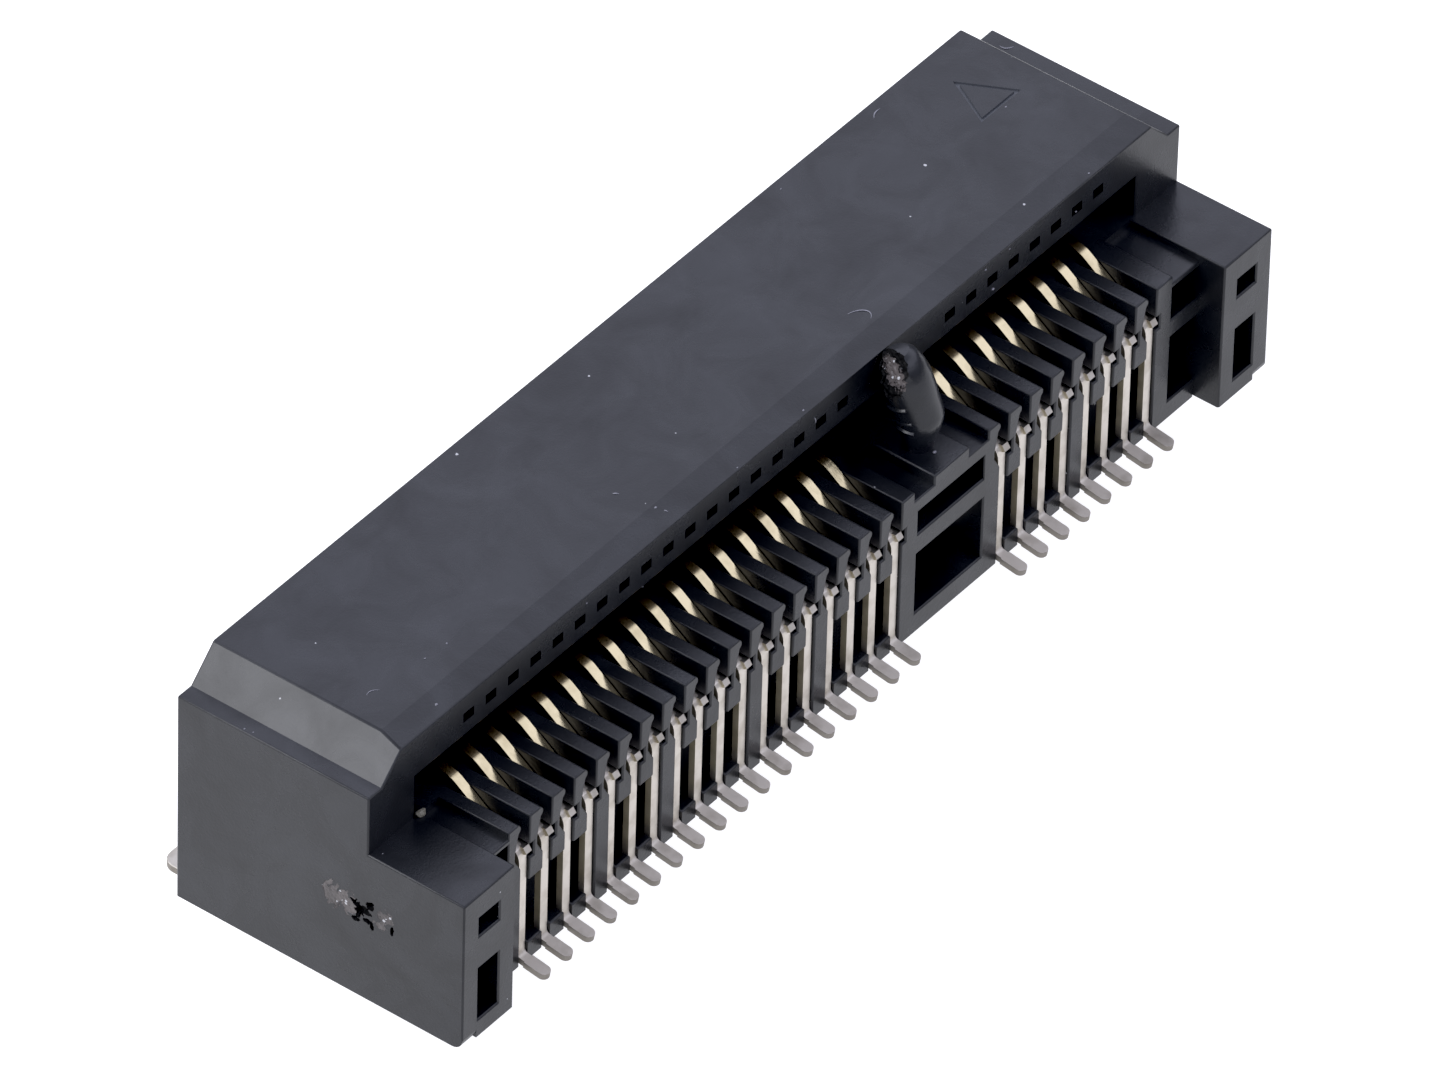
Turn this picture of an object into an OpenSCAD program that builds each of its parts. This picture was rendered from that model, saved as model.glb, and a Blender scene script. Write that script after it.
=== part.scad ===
// Right-angle card-edge connector for small expansion cards, surface mount.
// +X runs along the housing towards contact 26, +Y towards the rear tails and +Z away from the board.
// The origin is on the board plane, at mid length, level with the locating pegs.
// Depths are measured rearwards from the front face, and heights up from the board.

/* [Housing] */
// Overall length, end face to end face
body_len = 29.9; // [29.7:0.1:31]
// Height of the top face
top_h = 6.85; // [6.75:0.05:7.2]
// Depth of the tall block, front face to rear band
block_d = 5.43; // [5.3:0.01:5.6]
// Depth of the flat part of the top face
flat_d = 4.76; // [4.3:0.01:5.1]
// Fall of the top face behind its flat part
rear_fall = 0.12; // [0.02:0.01:0.25]
// Width of the flat step outside each end chamfer
end_ledge = 0.47; // [0.3:0.01:0.6]
// Length of each end chamfer along the housing
chamfer_run = 0.79; // [0.5:0.01:1]
// Drop of each end chamfer
chamfer_drop = 0.8; // [0.5:0.01:1]
// Height of the rails under the end walls
standoff = 0.08; // [0.05:0.01:0.15]
// Width of those rails
rail_w = 0.5; // [0.3:0.05:0.55]
// Height of the underside between the rails
under_h = 0.14; // [0.1:0.01:0.2]
// Radius at the rear foot of each end wall
heel_r = 0.3; // [0.1:0.05:0.5]
// Smallest width of the pockets in the underside
core_w = 2.1; // [1.5:0.1:2.4]
// Width of the ribs between them
core_rib = 0.7; // [0.5:0.05:1]
// Height of the pockets' ceiling
core_h = 2.5; // [1.5:0.1:2.6]
// Depth at which the pockets begin behind the front face
core_front = 1.1; // [0.9:0.05:1.3]
// Wall between them and the rear pockets
core_back = 0.6; // [0.4:0.05:0.8]
// Wall between the pegs and the outermost pockets
core_peg_wall = 0.3; // [0.2:0.05:0.4]
// Depth of the outlined triangle cut in the top face at contact 1
mark_depth = 0.05; // [0.03:0.01:0.1]
// Side of that triangle, along the housing
mark_w = 1.5; // [1:0.1:2]
// Depth of its point behind the front face
mark_tip_d = 1; // [0.8:0.05:1.5]
// Width of its outline
mark_line = 0.09; // [0.06:0.01:0.12]

/* [Rear comb] */
// Depth of the comb's rear face
comb_d = 7.4; // [7.3:0.02:7.6]
// Height of the fin tops
comb_h = 4.38; // [4.3:0.01:4.5]
// Height at which the fins' necks widen to their shoulders
neck_h = 3.35; // [3.3:0.01:3.4]
// Rise of the slanted shoulders
shoulder_rise = 0.36; // [0.2:0.02:0.4]
// Height of the underside of each fin's wider head
head_h = 4.17; // [4.1:0.01:4.2]
// Width of the tail slots below the shoulders
slot_w = 0.3; // [0.28:0.01:0.34]
// Half width of the slots between the fin heads
mouth_half = 0.17; // [0.16:0.005:0.19]
// Undercut of each fin's neck below its head
neck_cut = 0.19; // [0.1:0.01:0.2]
// Chamfer on one top corner of each fin
fin_chamfer = 0.1; // [0.05:0.01:0.14]
// Top of the rear pockets between groups of tails
pocket_top = 2.46; // [2.3:0.02:2.6]
// Height of the bars below the rear pockets
bar_h = 0.6; // [0.5:0.02:0.7]
// Depth of the rear pockets, forward from the comb's rear face
pocket_d = 0.75; // [0.6:0.05:1]
// Height of the lower shelves outside the last fins
shelf_h = 4.18; // [4.1:0.01:4.25]
// Thickness of those shelves over their openings
shelf_t = 0.15; // [0.1:0.01:0.2]
// Foot of the upper openings under the shelves
shelf_hi_foot = 3.05; // [2.9:0.05:3.2]
// Top of the lower openings under the shelves
shelf_lo_top = 2.55; // [2.3:0.05:2.7]
// Depth of those openings, forward from the comb's rear face
shelf_open_d = 1.6; // [1:0.1:1.9]
// Width of the wall outside contact 1
end_wall = 0.6; // [0.5:0.02:0.7]
// Width of the fin outside contact 26
last_fin = 0.47; // [0.4:0.01:0.6]
// Width of the raised pad in the middle of the wide block
pad_w = 1.3; // [1.1:0.05:1.5]
// Depth of the pits beside that pad
pit_drop = 0.28; // [0.15:0.01:0.4]
// Wall between the pits and the upper opening in the wide block
block_roof = 0.4; // [0.3:0.02:0.5]
// Foot of that upper opening
block_hi_foot = 3.02; // [2.9:0.02:3.2]
// Top of the lower opening in the wide block
block_lo_top = 2.44; // [2.2:0.02:2.6]
// Foot of that lower opening
block_lo_foot = 0.65; // [0.5:0.05:0.8]
// Walls beside both openings
block_wall = 0.6; // [0.5:0.05:0.7]
// Depth of both openings, forward from the comb's rear face
block_open_d = 2.2; // [1.5:0.1:2.4]

/* [Ears] */
// Depth of the ears' rear faces
ear_d = 8.15; // [8.05:0.05:8.4]
// Width of each ear
ear_w = 1.81; // [1.7:0.01:1.9]
// Thickness of the wall outside each ear's openings
ear_wall = 0.55; // [0.4:0.05:0.65]
// Width of those openings
ear_open_w = 0.73; // [0.5:0.01:0.85]
// Wall above the upper opening
ear_roof = 0.7; // [0.6:0.02:0.8]
// Foot of the upper opening
ear_hi_foot = 3.13; // [3:0.01:3.3]
// Top of the lower opening
ear_lo_top = 2.18; // [2:0.01:2.3]
// Foot of the lower opening
ear_lo_foot = 0.63; // [0.5:0.01:0.8]
// Depth that the openings reach forward
ear_open_d = 1.9; // [1:0.1:2.2]

/* [Rear band] */
// Height of the underside of the band over the contacts
band_low = 5.58; // [5.52:0.01:5.65]
// How far the recess under the band reaches forward
recess_d = 0.85; // [0.6:0.05:1]
// Solid length left outside each end of the recess
recess_end = 1.65; // [1.5:0.05:1.8]
// Height of the middle of the band's windows
window_h = 6.11; // [6:0.01:6.2]
// Width of each window
window_w = 0.38; // [0.3:0.01:0.45]
// Rise of each window
window_rise = 0.27; // [0.2:0.01:0.32]
// Depth of the windows
window_d = 1.1; // [0.5:0.1:2]

/* [Card slot] */
// Height of the card's underside above the board
card_h = 3.88; // [3.85:0.01:3.95]
// Thickness of the card that the slot takes
card_t = 1; // [0.95:0.01:1.05]
// Clearance above and below the card
card_gap = 0.05; // [0.03:0.01:0.08]
// Length of the slot along the housing
slot_len = 25; // [24.6:0.1:25.2]
// Depth of the slot
slot_d = 3.4; // [3.2:0.05:3.5]
// Width of the rib that fits the card's notch
key_w = 1.35; // [1.1:0.05:1.5]
// Rise and depth of the lead-in at the mouth
lead_in = 0.4; // [0.2:0.05:0.45]

/* [Contacts] */
// Distance from one contact to the next
pitch = 0.8; // [0.8:0.005:0.82]
// Distance across the key, between contacts 8 and 9 of a row
key_gap = 4; // [3.9:0.05:4.1]
// Contacts on the short side of the key
n_short = 8; // [4:1:8]
// Contacts on the long side of the key
n_long = 18; // [10:1:18]
// Offset of one row from the other along the housing
stagger = 0.4; // [0.36:0.01:0.42]
// Thickness of the contact strip
strip_t = 0.17; // [0.15:0.01:0.18]
// Width of the contact strip
strip_w = 0.26; // [0.22:0.01:0.27]
// Width of each solder foot
foot_w = 0.32; // [0.28:0.01:0.36]
// Reach of the solder feet beyond the faces that they leave
foot_reach = 0.82; // [0.6:0.02:1]
// Downward slope of the feet, in degrees
foot_slope = 9; // [3:1:12]
// Inset of the tails from the comb's rear face
tail_inset = 0.07; // [0.04:0.01:0.1]
// Height at which the upper contacts' slope meets their tails
tail_top = 3.33; // [3.3:0.01:3.36]
// Slope of the upper contacts where they reach their tails, in degrees
beam_slope = 21; // [19:0.5:22]
// Steeper slope of the upper contacts between the fins, in degrees
fin_slope = 36; // [35:0.2:37]
// Slope of the upper contacts under the band, in degrees
band_slope = 17.5; // [16.5:0.1:18.5]
// Depth at which the steeper slope ends
knee_d = 6.6; // [6.55:0.01:6.65]
// Depth at which the steeper slope begins
band_knee_d = 5.38; // [5.35:0.01:5.42]
// Depth of the upper contact points behind the front face
touch_d = 1.65; // [1.5:0.05:1.8]
// How much further in the lower contacts touch
touch_shift = 0.25; // [0.1:0.05:0.4]
// Length of the upper contacts' free tips
tip_len = 0.75; // [0.5:0.05:0.9]
// Rise of those tips away from the card
tip_rise = 0.3; // [0.2:0.02:0.36]
// Length of the lower contacts' free tips
low_tip_len = 1; // [0.8:0.05:1.2]
// Fall of those tips away from the card
low_tip_fall = 0.32; // [0.24:0.02:0.4]
// Drop of the lower contacts' bend below the card
low_root_drop = 0.75; // [0.7:0.05:0.9]
// Depth of the upper contacts' arch
arch_d = 3.1; // [3:0.05:3.2]
// How far the free contacts reach into the card's space
preload = 0.08; // [0.04:0.01:0.1]
// Width of the break-off stub beside each tail
stub_w = 0.2; // [0.15:0.01:0.25]
// Clearance between a contact and its cavity
strip_gap = 0.05; // [0.04:0.01:0.07]

/* [Fitting nails] */
// Width of each nail
nail_w = 1.6; // [1.2:0.1:1.7]
// Thickness of the nail sheet
nail_t = 0.2; // [0.15:0.01:0.22]
// Wall between the nail and the cavity of the nearest contact
nail_wall = 0.8; // [0.6:0.05:0.9]
// Depth of the nail's blade behind the front face
nail_d = 0.25; // [0.22:0.01:0.35]
// Reach of the nail's foot beyond the front face
nail_reach = 0.95; // [0.6:0.05:1.1]
// Height of the nail's blade
nail_h = 2.3; // [1.5:0.1:2.6]
// Clearance round the blade in its slot
nail_gap = 0.03; // [0.02:0.01:0.05]
// Room above the nail's foot where it leaves the housing
nail_step = 0.12; // [0.08:0.02:0.2]
// Radius of the corners of its foot
nail_corner = 0.35; // [0.2:0.05:0.5]

/* [Locating pegs] */
// Diameter of the peg by contact 1
peg_a_dia = 1.5; // [1.4:0.05:1.6]
// Diameter of the peg by contact 26
peg_b_dia = 1; // [0.9:0.05:1.1]
// Distance between the pegs
peg_span = 24.2; // [23.8:0.1:24.6]
// Depth of the pegs behind the front face
peg_d = 4; // [3.8:0.05:4.2]
// Length of the pegs below the board plane
peg_len = 1.1; // [0.8:0.1:1.5]
// Chamfer at the peg tips
peg_tip = 0.2; // [0.1:0.05:0.3]

/* [Post] */
// Height of the post's tip
post_h = 7.04; // [6.9:0.02:7.1]
// Depth of the post's foot behind the front face
post_d = 6.42; // [6.36:0.02:6.5]
// Radius of the post at its foot
post_foot_r = 0.36; // [0.3:0.02:0.42]
// Largest radius of the post
post_r = 0.61; // [0.5:0.01:0.63]
// Height of the post's bend above the wide block
post_bend_h = 0.92; // [0.86:0.02:1]
// Forward lean of the post above its bend, in degrees
post_lean = 17; // [12:1:18]
// Lean of the post towards contact 26 above its bend, in degrees
post_tilt = 8; // [0:1:10]
// Size of the broken face at its tip, measured in from the post's side
post_break = 0.3; // [0.15:0.01:0.36]
// Size of the part rings on the post
post_ring = 0.05; // [0.03:0.01:0.06]

/* [Hidden] */
$fn = 48;
n_row = n_short + n_long;
half = body_len / 2;
ledge_h = top_h - chamfer_drop;
card_top = card_h + card_t;
row_span = pitch * (n_row - 2) + key_gap;
over = 0.5;
bend_steps = 5;
tail_bend_r = 0.33;
beam_bend_r = 0.4;
foot_bend_r = 0.2;
peg_root = 0.4;

// Solid fins close off the rear pockets after these contacts, counted from contact 1
full_fins = [4, 8, 12, 15, 19, 22];

UPPER = [for (k = [1:n_row]) numbered("upper_contact_", k)];
LOWER = [for (k = [1:n_row]) numbered("lower_contact_", k)];

function numbered(stem, k) = str(stem, k < 10 ? "0" : "", k);

// Row coordinate of a depth behind the front face
function at(d) = d - peg_d;

// Distance from mid length to the nails
nail_x = row_span / 2 + stagger / 2 + slot_w / 2 + nail_wall;

// Place of contact k along its row, counted from contact 1 at the -X end
function contact_x(k, shift) =
    shift - row_span / 2 + pitch * (k - 1) + (k > n_short ? key_gap - pitch : 0);
function upper_x(k) = contact_x(k, stagger / 2);
function lower_x(k) = contact_x(k, -stagger / 2);

// Middle of the gap at the key, in one row
function gap_x(shift) = (contact_x(n_short, shift) + contact_x(n_short + 1, shift)) / 2;

// A bent strip's edge: centre line p offset by s to its left, with corner i bent to radius r[i]
function left(v) = [-v[1], v[0]];
function leg(p, i) = (p[i + 1] - p[i]) / norm(p[i + 1] - p[i]);
function turn_by(v, a) = [v[0] * cos(a) - v[1] * sin(a), v[0] * sin(a) + v[1] * cos(a)];
function bend(a, b) = atan2(a[0] * b[1] - a[1] * b[0], a * b);
function edge(p, r, s) = concat(
    [p[0] + s * left(leg(p, 0))],
    [for (i = [1:len(p) - 2])
        let (a = leg(p, i - 1), phi = bend(a, leg(p, i)), side = sign(phi))
        let (c = p[i] - r[i] * tan(abs(phi) / 2) * a + side * r[i] * left(a))
        for (n = [0:bend_steps])
            c - side * (r[i] - side * s) * turn_by(left(a), phi * n / bend_steps)],
    [p[len(p) - 1] + s * left(leg(p, len(p) - 2))]
);
function strip_outline(p, r, t) =
    let (a = edge(p, r, t / 2), b = edge(p, r, -t / 2))
    concat(a, [for (i = [len(b) - 1:-1:0]) b[i]]);

// Centre line of an upper contact, from its free tip to its solder foot
tail_y = at(comb_d - tail_inset - strip_t / 2);
toe_y = at(comb_d + foot_reach);
heel_h = strip_t / 2 + tan(foot_slope) * (toe_y - tail_y);
touch_h = card_top - preload + strip_t / 2;
upper_line = [
    [at(touch_d - tip_len), touch_h + tip_rise],
    [at(touch_d), touch_h],
    [at(arch_d), beam_mid(at(arch_d))],
    [at(band_knee_d), beam_mid(at(band_knee_d))],
    [at(knee_d), beam_mid(at(knee_d))],
    [tail_y, tail_top],
    [tail_y, heel_h],
    [toe_y - foot_w, heel_h - tan(foot_slope) * (toe_y - foot_w - tail_y)]
];
upper_bends = [0, 0.35, beam_bend_r, beam_bend_r, beam_bend_r, tail_bend_r, foot_bend_r, 0];

// Centre line of a lower contact, from its free tip to its solder foot
front_y = at(strip_gap + strip_t / 2);
front_toe_y = at(-foot_reach);
front_heel_h = strip_t / 2 + tan(foot_slope) * (front_y - front_toe_y);
low_touch_h = card_h + preload - strip_t / 2;
low_root_h = card_h - low_root_drop;
low_touch_y = at(touch_d + touch_shift);
lower_line = [
    [low_touch_y + low_tip_len, low_touch_h - low_tip_fall],
    [low_touch_y, low_touch_h],
    [front_y, low_root_h],
    [front_y, front_heel_h],
    [front_toe_y + foot_w, front_heel_h - tan(foot_slope) * (front_y - front_toe_y - foot_w)]
];
lower_bends = [0, 0.35, tail_bend_r, foot_bend_r, 0];

// Height of the upper contacts' centre line behind their arch, at row coordinate y
function beam_mid(y) = tail_top
    + tan(beam_slope) * (tail_y - max(y, at(knee_d)))
    + tan(fin_slope) * max(0, at(knee_d) - max(y, at(band_knee_d)))
    + tan(band_slope) * max(0, at(band_knee_d) - y);

// Height of the floor of their cavities
function floor_at(y) = beam_mid(y) - (strip_t / 2 + strip_gap) / cos(fin_slope);

// Draws a (depth, height) profile from x0 to x1
module along_x(x0, x1) {
    translate([x0, 0, 0]) rotate([90, 0, 90]) linear_extrude(x1 - x0) children();
}

// Draws an (x, height) profile from depth d0 to depth d1
module along_y(d0, d1) {
    translate([0, at(d1), 0]) rotate([90, 0, 0]) linear_extrude(d1 - d0) children();
}

// A box between two corners given as (x, depth, height)
module block(a, b) {
    translate([a[0], at(a[1]), a[2]]) cube([b[0] - a[0], b[1] - a[1], b[2] - a[2]]);
}

// The tall block: stepped and chamfered ends, top falling away behind its flat part
module tall_block() {
    intersection() {
        along_y(0, block_d) polygon([
            [-half, standoff], [-half, ledge_h], [-half + end_ledge, ledge_h],
            [-half + end_ledge + chamfer_run, top_h], [half - end_ledge - chamfer_run, top_h],
            [half - end_ledge, ledge_h], [half, ledge_h], [half, standoff],
            [half - rail_w, standoff], [half - rail_w, under_h],
            [-half + rail_w, under_h], [-half + rail_w, standoff]
        ]);
        along_x(-half - over, half + over) polygon([
            [at(0), 0], [at(0), top_h], [at(flat_d), top_h],
            [at(block_d), top_h - rear_fall], [at(block_d), 0]
        ]);
    }
}

// One ear: end wall with a rounded heel, and the thicker part inside it
module ear() {
    heel = [for (a = [270:15:360]) [at(ear_d) - heel_r + heel_r * cos(a), standoff + heel_r + heel_r * sin(a)]];
    along_x(half - rail_w, half) polygon(concat(
        [[at(block_d) - over, comb_h], [at(block_d) - over, standoff]], heel, [[at(ear_d), comb_h]]
    ));
    block([half - ear_w, block_d - over, under_h], [half - rail_w, ear_d, comb_h]);
}

module both_ends() {
    children();
    mirror([1, 0, 0]) children();
}

// The comb's body before its slots are cut: fins, wide block and lower end shelves
module comb_body() {
    inner = half - ear_w;
    fin_end = upper_x(n_row) + slot_w / 2 + last_fin;
    wall_end = upper_x(1) - slot_w / 2 - end_wall;
    along_y(block_d - over, comb_d) polygon([
        [-inner, standoff], [-inner, shelf_h], [wall_end, shelf_h], [wall_end, comb_h],
        [fin_end, comb_h], [fin_end, shelf_h], [inner, shelf_h], [inner, standoff]
    ]);
}

// Space for one upper contact, at x = 0
module upper_cavity() {
    face = tail_y - strip_t / 2 - strip_gap;
    fore = at(block_d - recess_d);
    end_y = at(slot_d) - 0.1;
    side = slot_w / 2;
    neck = mouth_half + neck_cut;
    // Narrow slot: straight down at the tail, and stepped with the slopes under the beam
    along_x(-side, side) polygon([
        [at(comb_d) + over, 0 - over], [face, 0 - over], [face, floor_at(face)],
        [at(knee_d), floor_at(at(knee_d))], [at(band_knee_d), floor_at(at(band_knee_d))],
        [fore, floor_at(fore)], [fore, band_low - 0.2], [at(comb_d) + over, comb_h + over]
    ]);
    // Profile between two fins: slanted shoulder, undercut neck, head with a chamfered corner
    along_y(block_d - 0.1, comb_d + over) polygon([
        [-side, neck_h - shoulder_rise], [side, neck_h - shoulder_rise], [neck, neck_h],
        [neck, neck_h + 0.2], [mouth_half + 0.07, head_h - 0.07], [mouth_half, head_h],
        [mouth_half, comb_h - fin_chamfer], [mouth_half + fin_chamfer, comb_h],
        [mouth_half + fin_chamfer + over, comb_h + over], [-side, comb_h + over]
    ]);
    // Room for the break-off stub
    block([-neck + 0.05, comb_d - 0.6, neck_h - shoulder_rise + 0.13], [0, comb_d + over, neck_h + 0.17]);
    // Way forward over the card, open to the card slot
    along_x(-side, side) polygon([
        [at(0.45), card_top - 0.1], [at(0.45), band_low - 0.12], [fore + 0.1, band_low - 0.12],
        [fore + 0.1, floor_at(fore + 0.1)], [end_y, max(card_top + 0.05, floor_at(end_y))],
        [end_y, card_top - 0.1]
    ]);
}

// Space for one lower contact, at x = 0: a slot in the front face and a way back under the card
module lower_cavity() {
    back = front_y + strip_t / 2 + strip_gap;
    tip_y = low_touch_y + low_tip_len + 0.15;
    along_x(-slot_w / 2, slot_w / 2) polygon([
        [at(0) - over, 0 - over], [back, 0 - over], [back, low_root_h - 0.25],
        [low_touch_y, low_touch_h - 0.5], [tip_y, low_touch_h - 0.5],
        [tip_y, card_h + 0.1], [at(0) - over, card_h + 0.1]
    ]);
}

// Card slot with a lead-in at its mouth, left open on both sides of the key rib
module card_slot() {
    lo = card_h - card_gap;
    hi = card_top + card_gap;
    key_x = (gap_x(stagger / 2) + gap_x(-stagger / 2)) / 2;
    profile = [
        [at(0) - over, lo - lead_in - over], [at(0), lo - lead_in], [at(lead_in), lo], [at(slot_d), lo],
        [at(slot_d), hi], [at(lead_in), hi], [at(0), hi + lead_in], [at(0) - over, hi + lead_in + over]
    ];
    along_x(-slot_len / 2, key_x - key_w / 2) polygon(profile);
    along_x(key_x + key_w / 2, slot_len / 2) polygon(profile);
}

// Pockets in the comb's rear face, one for each run of tails between solid fins
module rear_pockets() {
    for (i = [0:len(full_fins)])
        let (first = i == 0 ? 1 : full_fins[i - 1] + 1)
        let (last = i == len(full_fins) ? n_row : min(full_fins[i], n_row))
        if (last > first)
            block([upper_x(first), comb_d - pocket_d, bar_h], [upper_x(last), comb_d + over, pocket_top]);
}

// Openings of the wide block at the key, and the pits on its top
module wide_block_cuts() {
    x0 = upper_x(n_short) + slot_w / 2;
    x1 = upper_x(n_short + 1) - slot_w / 2;
    mid = (x0 + x1) / 2;
    for (z = [[block_hi_foot, comb_h - pit_drop - block_roof], [block_lo_foot, block_lo_top]])
        block([x0 + block_wall, comb_d - block_open_d, z[0]], [x1 - block_wall, comb_d + over, z[1]]);
    for (side = [-1, 1])
        let (a = mid + side * pad_w / 2, b = side < 0 ? x0 + last_fin : x1 - last_fin)
        block([min(a, b), block_d + 0.15, comb_h - pit_drop], [max(a, b), comb_d + over, comb_h + over]);
}

// Stacked openings between the comb's end walls and the ears
module end_pockets() {
    inner = half - ear_w;
    fin_end = upper_x(n_row) + slot_w / 2 + last_fin;
    wall_end = upper_x(1) - slot_w / 2 - end_wall;
    for (z = [[shelf_hi_foot, shelf_h - shelf_t], [bar_h, shelf_lo_top]]) {
        block([-inner, comb_d - shelf_open_d, z[0]], [wall_end, comb_d + over, z[1]]);
        block([fin_end, comb_d - shelf_open_d, z[0]], [inner, comb_d + over, z[1]]);
    }
}

module ear_openings() {
    for (z = [[ear_hi_foot, comb_h - ear_roof], [ear_lo_foot, ear_lo_top]])
        block([half - ear_wall - ear_open_w, ear_d - ear_open_d, z[0]], [half - ear_wall, ear_d + over, z[1]]);
}

// Row of small windows in the rear band, in line with the lower contacts
module band_windows() {
    for (k = [1:n_row])
        block(
            [lower_x(k) - window_w / 2, block_d - window_d, window_h - window_rise / 2],
            [lower_x(k) + window_w / 2, block_d + over, window_h + window_rise / 2]
        );
}

// Row of pockets in the underside that keep the moulding's walls even
module underside_pockets() {
    span = peg_span - peg_a_dia - 2 * core_peg_wall;
    count = floor((span + core_rib) / (core_w + core_rib));
    step = (span + core_rib) / count;
    for (i = [0:count - 1])
        let (x0 = -span / 2 + i * step)
            block([x0, core_front, 0 - over], [x0 + step - core_rib, comb_d - pocket_d - core_back, core_h]);
}

// Slot for a nail's blade, and the step that its foot leaves through
module nail_slot() {
    x0 = nail_x - nail_gap;
    x1 = nail_x + nail_w + nail_gap;
    block([x0, nail_d - nail_gap, 0 - over], [x1, nail_d + nail_t + nail_gap, nail_h + nail_gap]);
    block([x0, 0 - over, 0 - over], [x1, nail_d + nail_t / 2, nail_t + nail_step]);
}

// Outline triangle at contact 1, its point towards the card
module pin_mark() {
    rise = mark_w * 0.93;
    translate([lower_x(1) - 0.3, at(mark_tip_d), top_h - mark_depth]) linear_extrude(over) difference() {
        polygon([[0, 0], [mark_w / 2, rise], [-mark_w / 2, rise]]);
        polygon([[0, mark_line * 2.2], [mark_w / 2 - mark_line * 1.6, rise - mark_line],
                 [-mark_w / 2 + mark_line * 1.6, rise - mark_line]]);
    }
}

// Stepped peg with a chamfered tip
module peg(x, dia) {
    r = dia / 2;
    translate([x, 0, 0]) rotate_extrude() polygon([
        [0, under_h + peg_root], [r, under_h + peg_root], [r, peg_tip - peg_len],
        [r - peg_tip, -peg_len], [0, -peg_len]
    ]);
}

// Post on the wide block: round, upright at its foot, leaning forward and thickest above,
// with part rings on one side and an oblique broken face at its tip
module post() {
    mid = (upper_x(n_short) + upper_x(n_short + 1)) / 2;
    joint_r = post_r * 0.94;
    reach = (post_h - comb_h - post_bend_h) / cos(post_lean) / cos(post_tilt);
    cutter = 6 * post_r;
    translate([mid, at(post_d), comb_h]) union() {
        rotate_extrude() polygon([
            [0, -0.4], [post_foot_r, -0.4], [post_foot_r, 0.08], [post_foot_r + 0.04, 0.25],
            [joint_r - 0.04, post_bend_h - 0.25], [joint_r, post_bend_h], [0, post_bend_h]
        ]);
        translate([0, 0, post_bend_h]) sphere(r = joint_r);
        part_ring(post_bend_h * 0.8, joint_r - 0.02);
        translate([0, 0, post_bend_h]) rotate([post_lean, post_tilt, 0]) {
            part_ring(reach * 0.065, joint_r);
            part_ring(reach * 0.3, post_r);
            difference() {
                rotate_extrude() polygon([
                    [0, 0], [joint_r, 0], [post_r, reach * 0.35], [post_r, reach * 0.6],
                    [post_r * 0.9, reach * 0.78], [post_r * 0.72, reach * 0.92], [post_r * 0.5, reach * 0.98], [0, reach]
                ]);
                rotate([0, 0, -8]) translate([post_r - post_break, 0, reach * 0.76]) rotate([0, 59, 0])
                    translate([-cutter / 2, -cutter / 2, 0]) cube(cutter);
            }
        }
    }
}

// Part ring round the post, r from its axis
module part_ring(h, r) {
    translate([0, 0, h]) rotate([0, 0, 260]) rotate_extrude(angle = 125) polygon([
        [0.1, -post_ring], [r, -post_ring], [r + post_ring, 0], [r, post_ring], [0.1, post_ring]
    ]);
}

module housing() {
    color([0.25, 0.26, 0.29]) union() {
        difference() {
            union() {
                tall_block();
                both_ends() ear();
                comb_body();
            }
            block([-half + recess_end, block_d - recess_d, max(comb_h, shelf_h)],
                [half - recess_end, block_d + over, band_low]);
            for (k = [1:n_row]) {
                translate([upper_x(k), 0, 0]) upper_cavity();
                translate([lower_x(k), 0, 0]) lower_cavity();
            }
            card_slot();
            rear_pockets();
            wide_block_cuts();
            end_pockets();
            both_ends() ear_openings();
            band_windows();
            underside_pockets();
            both_ends() nail_slot();
            pin_mark();
        }
        peg(-peg_span / 2, peg_a_dia);
        peg(peg_span / 2, peg_b_dia);
        post();
    }
}

// Solder foot: a slab with a round toe, sloped down to the board; it runs towards +Y from its heel
module foot(heel) {
    run = foot_reach + tail_inset;
    translate([0, 0, heel]) rotate([-foot_slope, 0, 0]) translate([0, 0, -strip_t / 2])
        linear_extrude(strip_t) union() {
            translate([-foot_w / 2, 0.28]) square([foot_w, run - 0.28 - foot_w / 2]);
            translate([0, run - foot_w / 2]) circle(d = foot_w);
        }
}

module upper_contact(k) {
    color([0.8, 0.74, 0.58]) translate([upper_x(k), 0, 0]) union() {
        along_x(-strip_w / 2, strip_w / 2) polygon(strip_outline(upper_line, upper_bends, strip_t));
        translate([0, tail_y, 0]) foot(heel_h);
        // Break-off stub beside the top of the tail, its torn end slanted
        along_x(-0.05 - stub_w, -0.05) polygon([
            [tail_y - 0.3, tail_top - 0.1], [tail_y - 0.3, tail_top + 0.1], [tail_y + 0.05, tail_top + 0.09],
            [tail_y + 0.14, tail_top - 0.05], [tail_y + 0.06, tail_top - 0.1]
        ]);
    }
}

module lower_contact(k) {
    color([0.8, 0.74, 0.58]) translate([lower_x(k), 0, 0]) union() {
        along_x(-strip_w / 2, strip_w / 2) polygon(strip_outline(lower_line, lower_bends, strip_t));
        translate([0, front_y, 0]) mirror([0, 1, 0]) foot(front_heel_h);
    }
}

// L-shaped nail: a blade pressed up into the housing and a foot with rounded corners
module fitting_nail() {
    back = nail_d + nail_t;
    color([0.78, 0.78, 0.77]) union() {
        block([nail_x, nail_d, 0], [nail_x + nail_w, back, nail_h]);
        translate([nail_x, at(-nail_reach), 0]) linear_extrude(nail_t) union() {
            translate([nail_corner, 0]) square([nail_w - 2 * nail_corner, nail_reach + back]);
            translate([0, nail_corner]) square([nail_w, nail_reach + back - nail_corner]);
            translate([nail_corner, nail_corner]) circle(r = nail_corner);
            translate([nail_w - nail_corner, nail_corner]) circle(r = nail_corner);
        }
    }
}

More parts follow.
